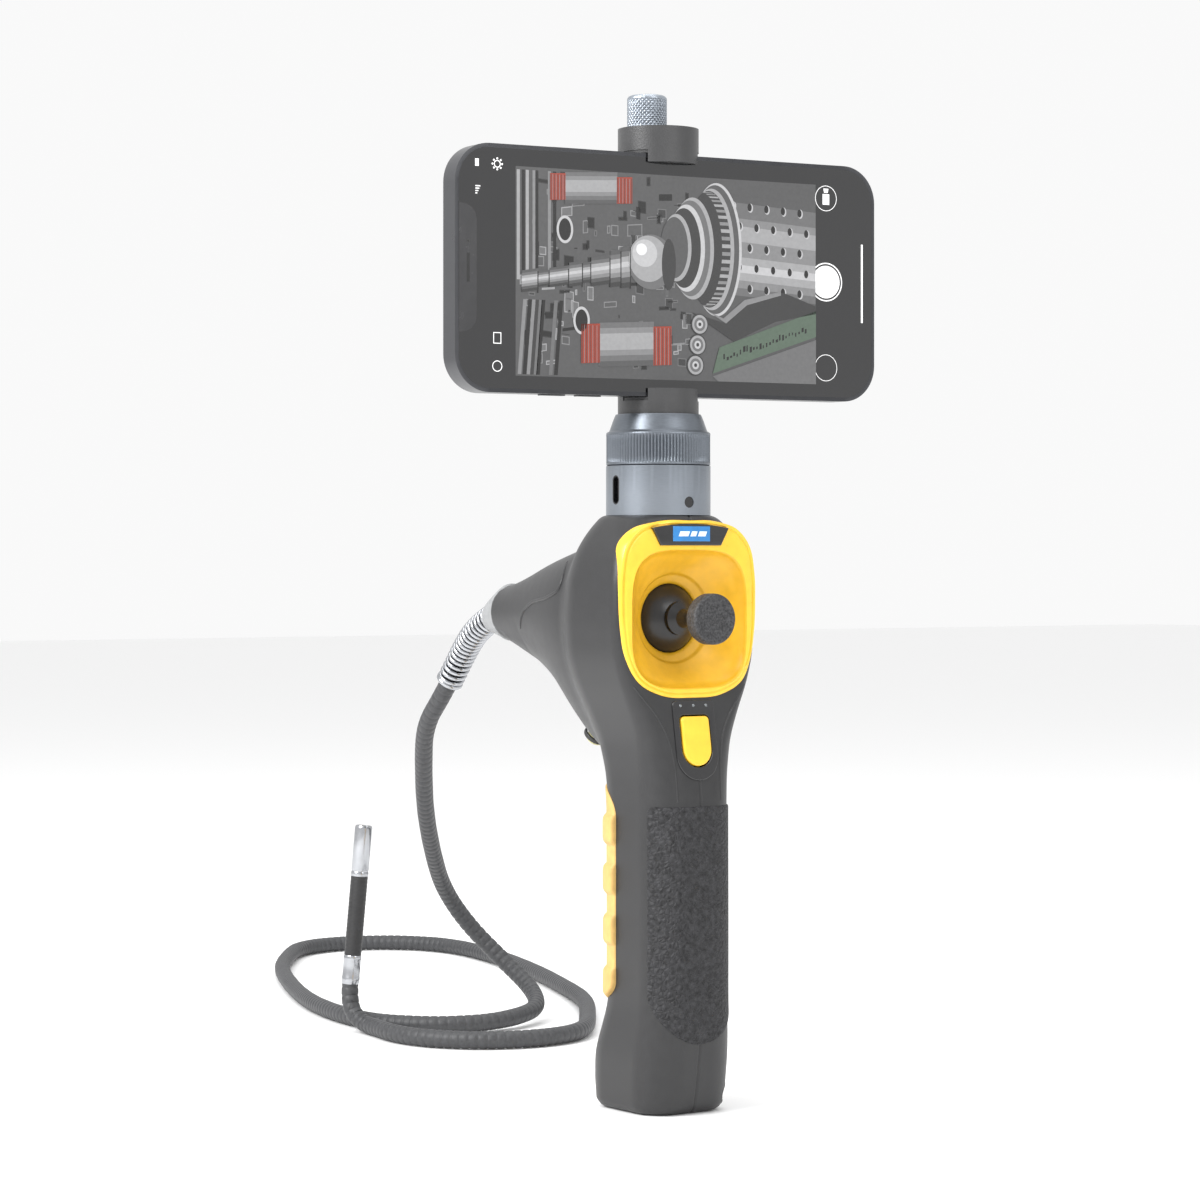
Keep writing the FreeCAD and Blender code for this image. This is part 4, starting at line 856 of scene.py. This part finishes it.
def fin_h(z, s, sm):
    b = 0.0
    for c in BUMPS:
        t = abs(z - c) / 5.0
        if t < 1:
            b = max(b, 1.25 * (1 - t ** 6))
    d = min(sm - abs(s), z - FZ0, FZ1 - z)
    return (0.55 + b) * edge_round(max(0, d), 1.0, -0.2)


zs = [FZ0, FZ0 + 0.1, FZ0 + 0.3, FZ0 + 0.6] + list(np.arange(FZ0 + 1, FZ1 - 0.9, 0.45)) + [FZ1 - 0.6, FZ1 - 0.3, FZ1 - 0.1, FZ1]
grip("finger_strip_skin", zs, fin_s, True, fin_h, "yellow_rubber", "finger_grip")

# ------------------------------------------------------- knurled ring and knob
def ring_r(r, z, a, i):
    if 207.6 < z < 216.2:
        t = (a * 96 / (2 * math.pi)) % 1.0
        return r - 0.42 * (0.5 + 0.5 * math.cos(2 * math.pi * t)) ** 1.5
    return r


prof = [(12.2, 206.5), (16.4, 206.5), (16.8, 206.8), (16.8, 207.4), (16.75, 207.8), (16.75, 209.5), (16.75, 212.0),
        (16.75, 214.5), (16.75, 216.0), (16.8, 216.4), (16.8, 216.9), (16.55, 217.2), (15.9, 217.5), (15.7, 217.9),
        (15.3, 219.0), (14.6, 221.0), (13.95, 222.6), (13.7, 223.0), (13.3, 223.0), (13.3, 222.0), (13.3, 212.0), (12.2, 210.0)]
v, f = revolve(prof, 768, None, ring_r)
f = f[:-2] + [(k, (k + 1) % 768, (len(prof) - 1) * 768 + (k + 1) % 768, (len(prof) - 1) * 768 + k) for k in range(768)]
piece("lock_ring_knurl", v, f, "anodised", body="lock_ring", rep=("lock_ring",), sharp=40)
lo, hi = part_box("thumb_screw")
kx, ky = (lo.x + hi.x) / 2 * 1000, (lo.y + hi.y) / 2 * 1000
kz0, kz1 = 315.2, hi.z * 1000
print("knob", kx, ky, lo.z * 1000, kz1)


def knob_r(r, z, a, i):
    if kz0 + 1.2 < z < kz1 - 1.4:
        u = a * 30 / (2 * math.pi)
        w = (z - kz0) / 1.45
        d = min(abs(((u + w) % 1) - 0.5), abs(((u - w) % 1) - 0.5)) * 2
        return r - 0.30 * (1 - min(1.0, d * 2.2))
    return r


prof = [(3.2, kz0), (5.7, kz0), (6.3, kz0 + 0.35), (6.45, kz0 + 0.8), (6.45, kz0 + 1.1)]
prof += [(6.45, z) for z in np.arange(kz0 + 1.25, kz1 - 1.45, 0.16)]
prof += [(6.45, kz1 - 1.3), (6.4, kz1 - 0.8), (6.0, kz1 - 0.3), (5.4, kz1), (3.0, kz1), (2.7, kz1 - 0.3), (0.02, kz1 - 0.35)]
v, f = revolve(prof, 300, Matrix.Translation((kx, ky, 0)), knob_r)
knob = piece("knob_knurl", v, f, "steel_grey", body="thumb_screw", rep=("thumb_screw",), sharp=50)
prof = [(0.02, 216.0), (1.9, 216.0)]
zz = 216.4
while zz < 314.6:
    prof += [(2.18, zz), (2.48, zz + 0.28), (2.48, zz + 0.42), (2.18, zz + 0.7)]
    zz += 0.8
prof += [(2.5, 314.8), (3.6, 315.0), (3.6, 315.3)]
v, f = revolve(prof, 28, Matrix.Translation((kx, ky, 0)))
piece("clamp_rod", v, f, "steel", body="thumb_screw", sharp=25)

# --------------------------------------------------------------- joystick cap
lo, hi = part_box("joystick_cap")
cy0, cy1 = lo.y * 1000, hi.y * 1000
print("cap", cy0, cy1)
JM = Matrix(((1, 0, 0, 0), (0, 0, -1, 0), (0, 1, 0, 157.5), (0, 0, 0, 1)))
h0, h1 = -cy1, -cy0
prof = [(2.35, h0), (5.6, h0), (7.2, h0 + 0.35), (7.8, h0 + 0.9), (8.1, h0 + 1.7), (8.1, h1 - 1.2), (8.0, h1 - 0.6), (7.7, h1 - 0.15),
        (7.3, h1), (6.9, h1 - 0.05), (6.4, h1 - 0.35), (5.6, h1 - 0.62), (4.5, h1 - 0.8), (3.0, h1 - 0.9), (1.5, h1 - 0.95), (0.03, h1 - 0.96)]
v, f = revolve(prof, 96, JM)
piece("joystick_cap_dish", v, f, "cap_rubber", body="joystick", rep=("joystick_cap",), sharp=50)

# ------------------------------------------------------ what the screen shows
CM = Matrix.Rotation(math.radians(-5.5), 4, "Z")
SX0, SZ0, SW, SH = -56.75, 233.8, 111.6, 65.5


def smat(name, c, e=0.55):
    m = material(name, tuple(q * 0.5 for q in c), 0.25, tone=0.10, tscale=900, rvar=0.04, coat=0.6,
                 emit=(c[0], c[1], c[2], e))
    MAT[name] = m
    return name


G = [smat("scr_%d" % i, (g, g, g * 1.02)) for i, g in enumerate((0.004, 0.03, 0.075, 0.13, 0.21, 0.32, 0.47, 0.75))]
RED, GREEN, WHITE = smat("scr_red", (0.30, 0.035, 0.015)), smat("scr_green", (0.085, 0.125, 0.09)), smat("scr_white", (1, 1, 1), 0.8)
LAY = {}


def flat(pts, mat, layer, absolute=False):
    LAY.setdefault((mat, layer), []).append([(p[0] + (0 if absolute else SX0), p[1] + (0 if absolute else SZ0)) for p in pts])


def clipped(pts):
    return [(min(SW, max(0, p[0])), min(SH, max(0, p[1]))) for p in pts]


def ell(cx, cy, a, b, n=36, rot=0.0, t0=0.0, t1=2 * math.pi):
    c, s = math.cos(rot), math.sin(rot)
    full = abs(t1 - t0 - 2 * math.pi) < 1e-6
    out = []
    for k in range(n if full else n + 1):
        t = t0 + (t1 - t0) * k / n
        x, y = a * math.cos(t), b * math.sin(t)
        out.append((cx + c * x - s * y, cy + s * x + c * y))
    return out


def rect(x0, y0, x1, y1, sl=0.0):
    return [(x0, y0), (x1, y0 + sl * (x1 - x0)), (x1, y1 + sl * (x1 - x0)), (x0, y1)]


def quad_band(x0, x1, y0, y1, shades, sl, layer):
    n = len(shades)
    for k, g in enumerate(shades):
        a, b = y0 + (y1 - y0) * k / n, y0 + (y1 - y0) * (k + 1) / n
        flat(clipped(rect(x0, a, x1, b, sl)), G[g], layer)


flat(rect(0, 0, SW, SH), G[2], 0)
rng = np.random.default_rng(7)
for k in range(150):
    x, y = rng.uniform(1, 62), rng.uniform(2, 62)
    wd, ht = rng.uniform(0.8, 5.5), rng.uniform(0.6, 4.0)
    if rng.random() < 0.5:
        wd, ht = ht, wd
    sl = rng.uniform(-0.15, 0.15)
    g = int(rng.integers(1, 6))
    flat(clipped(rect(x, y, x + wd, y + ht, sl)), G[g], 1)
    flat(clipped(rect(x + 0.3, y + 0.3, x + wd - 0.3, y + ht - 0.3, sl)), G[max(0, g - 2)], 2)
for x, g in ((0.4, 5), (2.2, 0), (3.6, 5), (4.8, 2), (6.0, 4), (7.0, 0), (11.5, 4), (13.4, 0)):
    flat(clipped(rect(x, 30 + x * 0.3, x + 1.1, 64.5)), G[g], 3)
    flat(clipped([(x + 0.3, 0.5), (x + 1.6, 0.5), (x + 3.6, 24), (x + 2.3, 24)]), G[max(0, g - 1)], 3)
# the drum, a rolled sheet with punched holes
quad_band(74, 112, 26, 61, (2, 3, 4, 5, 6, 5, 4, 4, 5, 5, 4, 3, 3, 2), -0.06, 3)
for r in range(5):
    for c in range(5):
        hx, hy = 80 + c * 6.4 + (r % 2) * 2.6, 30.5 + r * 6.6 - (c * 0.35)
        flat(clipped(ell(hx, hy, 1.0, 1.5, 16)), G[6], 4)
        flat(clipped(ell(hx - 0.3, hy + 0.2, 0.8, 1.3, 16)), G[0], 5)
flat(clipped(rect(78.6, 26, 78.9, 60)), G[6], 4)
# ribbed flange and gear in front of it
for cx, a, b, g in ((73.5, 9.6, 21.5, 6), (73.0, 9.1, 20.8, 2), (71.6, 8.6, 19.6, 5), (70.6, 8.2, 18.8, 1), (64.5, 8.0, 16.4, 5),
                    (63.6, 7.5, 15.4, 3), (62.2, 6.9, 14.0, 6), (61.2, 6.3, 12.8, 1), (58.4, 5.6, 10.8, 5), (57.6, 5.1, 9.8, 2)):
    flat(clipped(ell(cx, 42.5, a, b, 64)), G[g], 6 + (cx < 73.2) + (cx < 72) + (cx < 71) + (cx < 65) + (cx < 64) + (cx < 63) + (cx < 61.5) + (cx < 59) + (cx < 58))
for k in range(22):
    t = math.radians(-82 + k * 7.8)
    p = [(70.6 + 8.2 * math.cos(t + d) + e, 42.5 + 18.4 * math.sin(t + d)) for d, e in ((-0.03, -3.2), (-0.03, 0.2), (0.035, 0.2), (0.035, -3.2))]
    flat(clipped(p), G[4 + k % 2], 10)
flat(clipped(ell(49, 37.5, 8.5, 8.8, 40)), G[3], 16)
flat(clipped(ell(48, 38.5, 7.2, 7.4, 40)), G[5], 17)
flat(clipped(ell(46.6, 40.2, 4.6, 4.4, 30)), G[6], 18)
flat(clipped(ell(45.4, 41.4, 2.0, 1.9, 24)), G[7], 19)
flat(clipped(ell(55.5, 37, 2.6, 8.2, 30)), G[1], 18)
for k, (x0, x1, h) in enumerate(((2, 8, 3.4), (8, 12, 2.4), (12, 19, 3.0), (19, 24, 3.8), (24, 27, 3.2), (27, 34, 4.6), (34, 38, 5.8), (38, 41.5, 6.6))):
    yc = 29.2 + x0 * 0.16
    quad_band(x0, x1 + 0.05, yc - h, yc + h, (1, 2, 4, 5, 6, 5, 3, 2), 0.16, 16)
    flat(clipped(rect(x1 - 0.35, yc - h, x1, yc + h, 0.16)), G[0], 17)
for cx, cy in ((17.5, 46.5), (23.5, 18.0)):
    flat(ell(cx, cy, 3.0, 4.4, 30), G[6], 16)
    flat(ell(cx, cy, 2.2, 3.5, 30), G[0], 17)
# windings with their laminated cores
for (x0, y0, x1, y1), (r0, r1) in (((17.5, 54.5, 36.5, 64.5), (12.2, 42)), ((30, 3.5, 50, 17.5), (23.4, 56.5))):
    quad_band(x0, x1, y0, y1, (2, 3, 4, 5, 5, 5, 4, 3), 0.05, 16)
    for a, b in ((r0, x0 + 0.2), (x1 - 0.2, r1)):
        flat(clipped(rect(a, y0 + 1, b, y1 - 0.6, 0.05)), RED, 17)
        for k in range(9):
            xx = a + (b - a) * (k + 0.5) / 9
            flat(clipped(rect(xx - 0.09, y0 + 1.2, xx + 0.09, y1 - 0.9, 0.4 if k % 2 else -0.4)), G[1 + 3 * (k % 2)], 18)
flat(clipped([(72, 2.5), (112, 15.5), (112, 24), (74.5, 11)]), GREEN, 16)
flat(clipped([(74, 0), (112, 0), (112, 14.5), (72, 1.6)]), G[3], 16)
flat(clipped([(64, 22), (76, 19), (84, 26), (99, 29.5), (112, 25.5), (112, 23), (96, 20), (80, 13)]), G[1], 16)
flat(clipped([(70, 22.6), (76, 20.4), (84, 26.6), (98, 29.8), (98, 28.6), (85, 25.0), (77, 18.8)]), G[4], 17)
for k in range(26):
    x = 76 + k * 1.25
    y = 4.8 + (x - 72) * 0.325 + rng.uniform(0, 1.2)
    flat(clipped(rect(x, y, x + rng.uniform(0.4, 0.9), y + rng.uniform(0.6, 2.0), 0.3)), G[0], 17)
for y in (5.0, 11.6, 18.2):
    for a, g, l in ((3.4, 1, 17), (3.0, 5, 18), (2.2, 3, 19), (1.3, 6, 20), (0.6, 1, 21)):
        flat(clipped(ell(66.2 + (y - 11) * 0.12, y, a * 0.95, a, 28)), G[g], l)


def ringpoly(cx, cz, r0, r1, mat, layer, n=48):
    for k in range(n):
        a, b = 2 * math.pi * k / n, 2 * math.pi * (k + 1) / n
        flat([(cx + r0 * math.cos(a), cz + r0 * math.sin(a)), (cx + r1 * math.cos(a), cz + r1 * math.sin(a)),
              (cx + r1 * math.cos(b), cz + r1 * math.sin(b)), (cx + r0 * math.cos(b), cz + r0 * math.sin(b))], mat, layer, True)


def ab(pts, mat, layer):
    flat(pts, mat, layer, True)


ringpoly(58.9, 267.5, 5.95, 6.35, WHITE, 1)
ab(ell(58.9, 267.5, 5.35, 5.35, 48), WHITE, 1)
ringpoly(58.9, 295.0, 4.0, 4.2, WHITE, 1)
ab(rect(57.6, 292.9, 60.2, 296.4), WHITE, 1)
ab([(58.2, 296.8), (59.6, 296.8), (59.9, 298.2), (57.9, 298.2)], WHITE, 1)
ringpoly(58.9, 239.3, 4.2, 4.38, WHITE, 1)
ab(rect(72.7, 254.5, 73.4, 280.4), WHITE, 1)
ringpoly(-63.2, 299.6, 0.9, 1.2, WHITE, 1, 24)
for k in range(8):
    a = math.pi * k / 4
    ab(ell(-63.2 + 1.7 * math.cos(a), 299.6 + 1.7 * math.sin(a), 0.33, 0.33, 10), WHITE, 1)
ringpoly(-63.2, 236.6, 1.5, 1.75, WHITE, 1, 24)
ab(rect(-64.6, 243.6, -61.8, 243.85), WHITE, 1)
ab(rect(-64.6, 246.9, -61.8, 247.15), WHITE, 1)
ab(rect(-64.6, 243.6, -64.35, 247.15), WHITE, 1)
ab(rect(-62.05, 243.6, -61.8, 247.15), WHITE, 1)
for k in range(4):
    ab(rect(-70.9 + 0.0, 290.0 + k * 0.75, -70.9 + 0.7 + k * 0.35, 290.35 + k * 0.75), WHITE, 1)
ab(rect(-71.0, 298.6, -69.7, 300.9), WHITE, 1)
# the housing of the lens and speaker at the screen's left end
notch = [(-76.6, 246.9), (-74.2, 247.2), (-72.2, 248.2), (-70.9, 249.8), (-70.4, 252.0), (-70.4, 282.0), (-70.9, 284.2),
         (-72.2, 285.8), (-74.2, 286.8), (-76.6, 287.1)]
MAT["scr_notch"] = material("m_notch", (0.028, 0.028, 0.03), 0.25, tone=0.08, coat=0.3)
ab(notch, "scr_notch", 1)
ab(rect(-73.9, 262.5, -72.9, 271.5), G[0], 2)
ab(ell(-73.4, 275.2, 0.7, 0.7, 20), G[1], 2)
ab(ell(-73.4, 275.2, 0.35, 0.35, 16), G[0], 3)
by = {}
for (mat, layer), polys in LAY.items():
    by.setdefault(mat, []).append((layer, polys))
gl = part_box("phone_glass")
for mat, items in by.items():
    vv, ff = [], []
    for layer, polys in items:
        for p in polys:
            ff.append(tuple(range(len(vv), len(vv) + len(p))))
            vv += [CM @ Vector((q[0], -8.52 - 0.016 * layer, q[1])) for q in p]
    me = bpy.data.meshes.new("screen_" + mat)
    me.from_pydata([tuple(q * MM) for q in vv], [], ff)
    me.materials.append(MAT[mat])
    ob = bpy.data.objects.new("screen_" + mat, me)
    bpy.context.scene.collection.objects.link(ob)
    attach(ob, "phone")

sc = bpy.context.scene
sc.view_settings.view_transform = "Standard"
sc.view_settings.look = "None"
me = bpy.data.meshes.new("floor")
bm = bmesh.new()
bmesh.ops.create_grid(bm, x_segments=8, y_segments=8, size=6.0)
bm.to_mesh(me)
bm.free()
floor = bpy.data.objects.new("floor", me)
sc.collection.objects.link(floor)
floor.location = (0, 0, -0.0002)
fm = bpy.data.materials.new("m_floor")
fm.use_nodes = True
fb = fm.node_tree.nodes["Principled BSDF"]
fb.inputs["Base Color"].default_value = (0.93, 0.93, 0.93, 1)
fb.inputs["Roughness"].default_value = 0.6
me.materials.append(fm)
w = sc.world or bpy.data.worlds.new("world")
sc.world = w
w.use_nodes = True
w.node_tree.nodes["Background"].inputs["Color"].default_value = (1, 1, 1, 1)
w.node_tree.nodes["Background"].inputs["Strength"].default_value = 0.95


def area(name, loc, target, size, power):
    d = bpy.data.lights.new(name, "AREA")
    d.shape = "RECTANGLE"
    d.size, d.size_y = size
    d.energy = power
    o = bpy.data.objects.new(name, d)
    sc.collection.objects.link(o)
    o.location = loc
    o.rotation_euler = (Vector(target) - Vector(loc)).to_track_quat("-Z", "Y").to_euler()
    return o


area("key", (-0.9, 0.05, 0.8), (0.02, 0.1, 0.15), (0.6, 0.6), 15)
area("front", (0.15, -1.1, 0.75), (0.0, 0.0, 0.15), (0.7, 0.5), 4)
area("top", (0.1, 0.2, 1.3), (0.05, 0.15, 0.0), (0.9, 0.9), 6)
cd = bpy.data.cameras.new("camera")
cd.lens = 105.4
cd.sensor_width = 36.0
cd.shift_y = -0.0342
cd.clip_start = 0.05
cd.clip_end = 30
cam = bpy.data.objects.new("camera", cd)
sc.collection.objects.link(cam)
cam.location = (-0.6657, -0.9171, 0.1765)
fwd = Vector((0.574, 0.819, 0.0)).normalized()
cam.rotation_euler = fwd.to_track_quat("-Z", "Y").to_euler()
sc.camera = cam
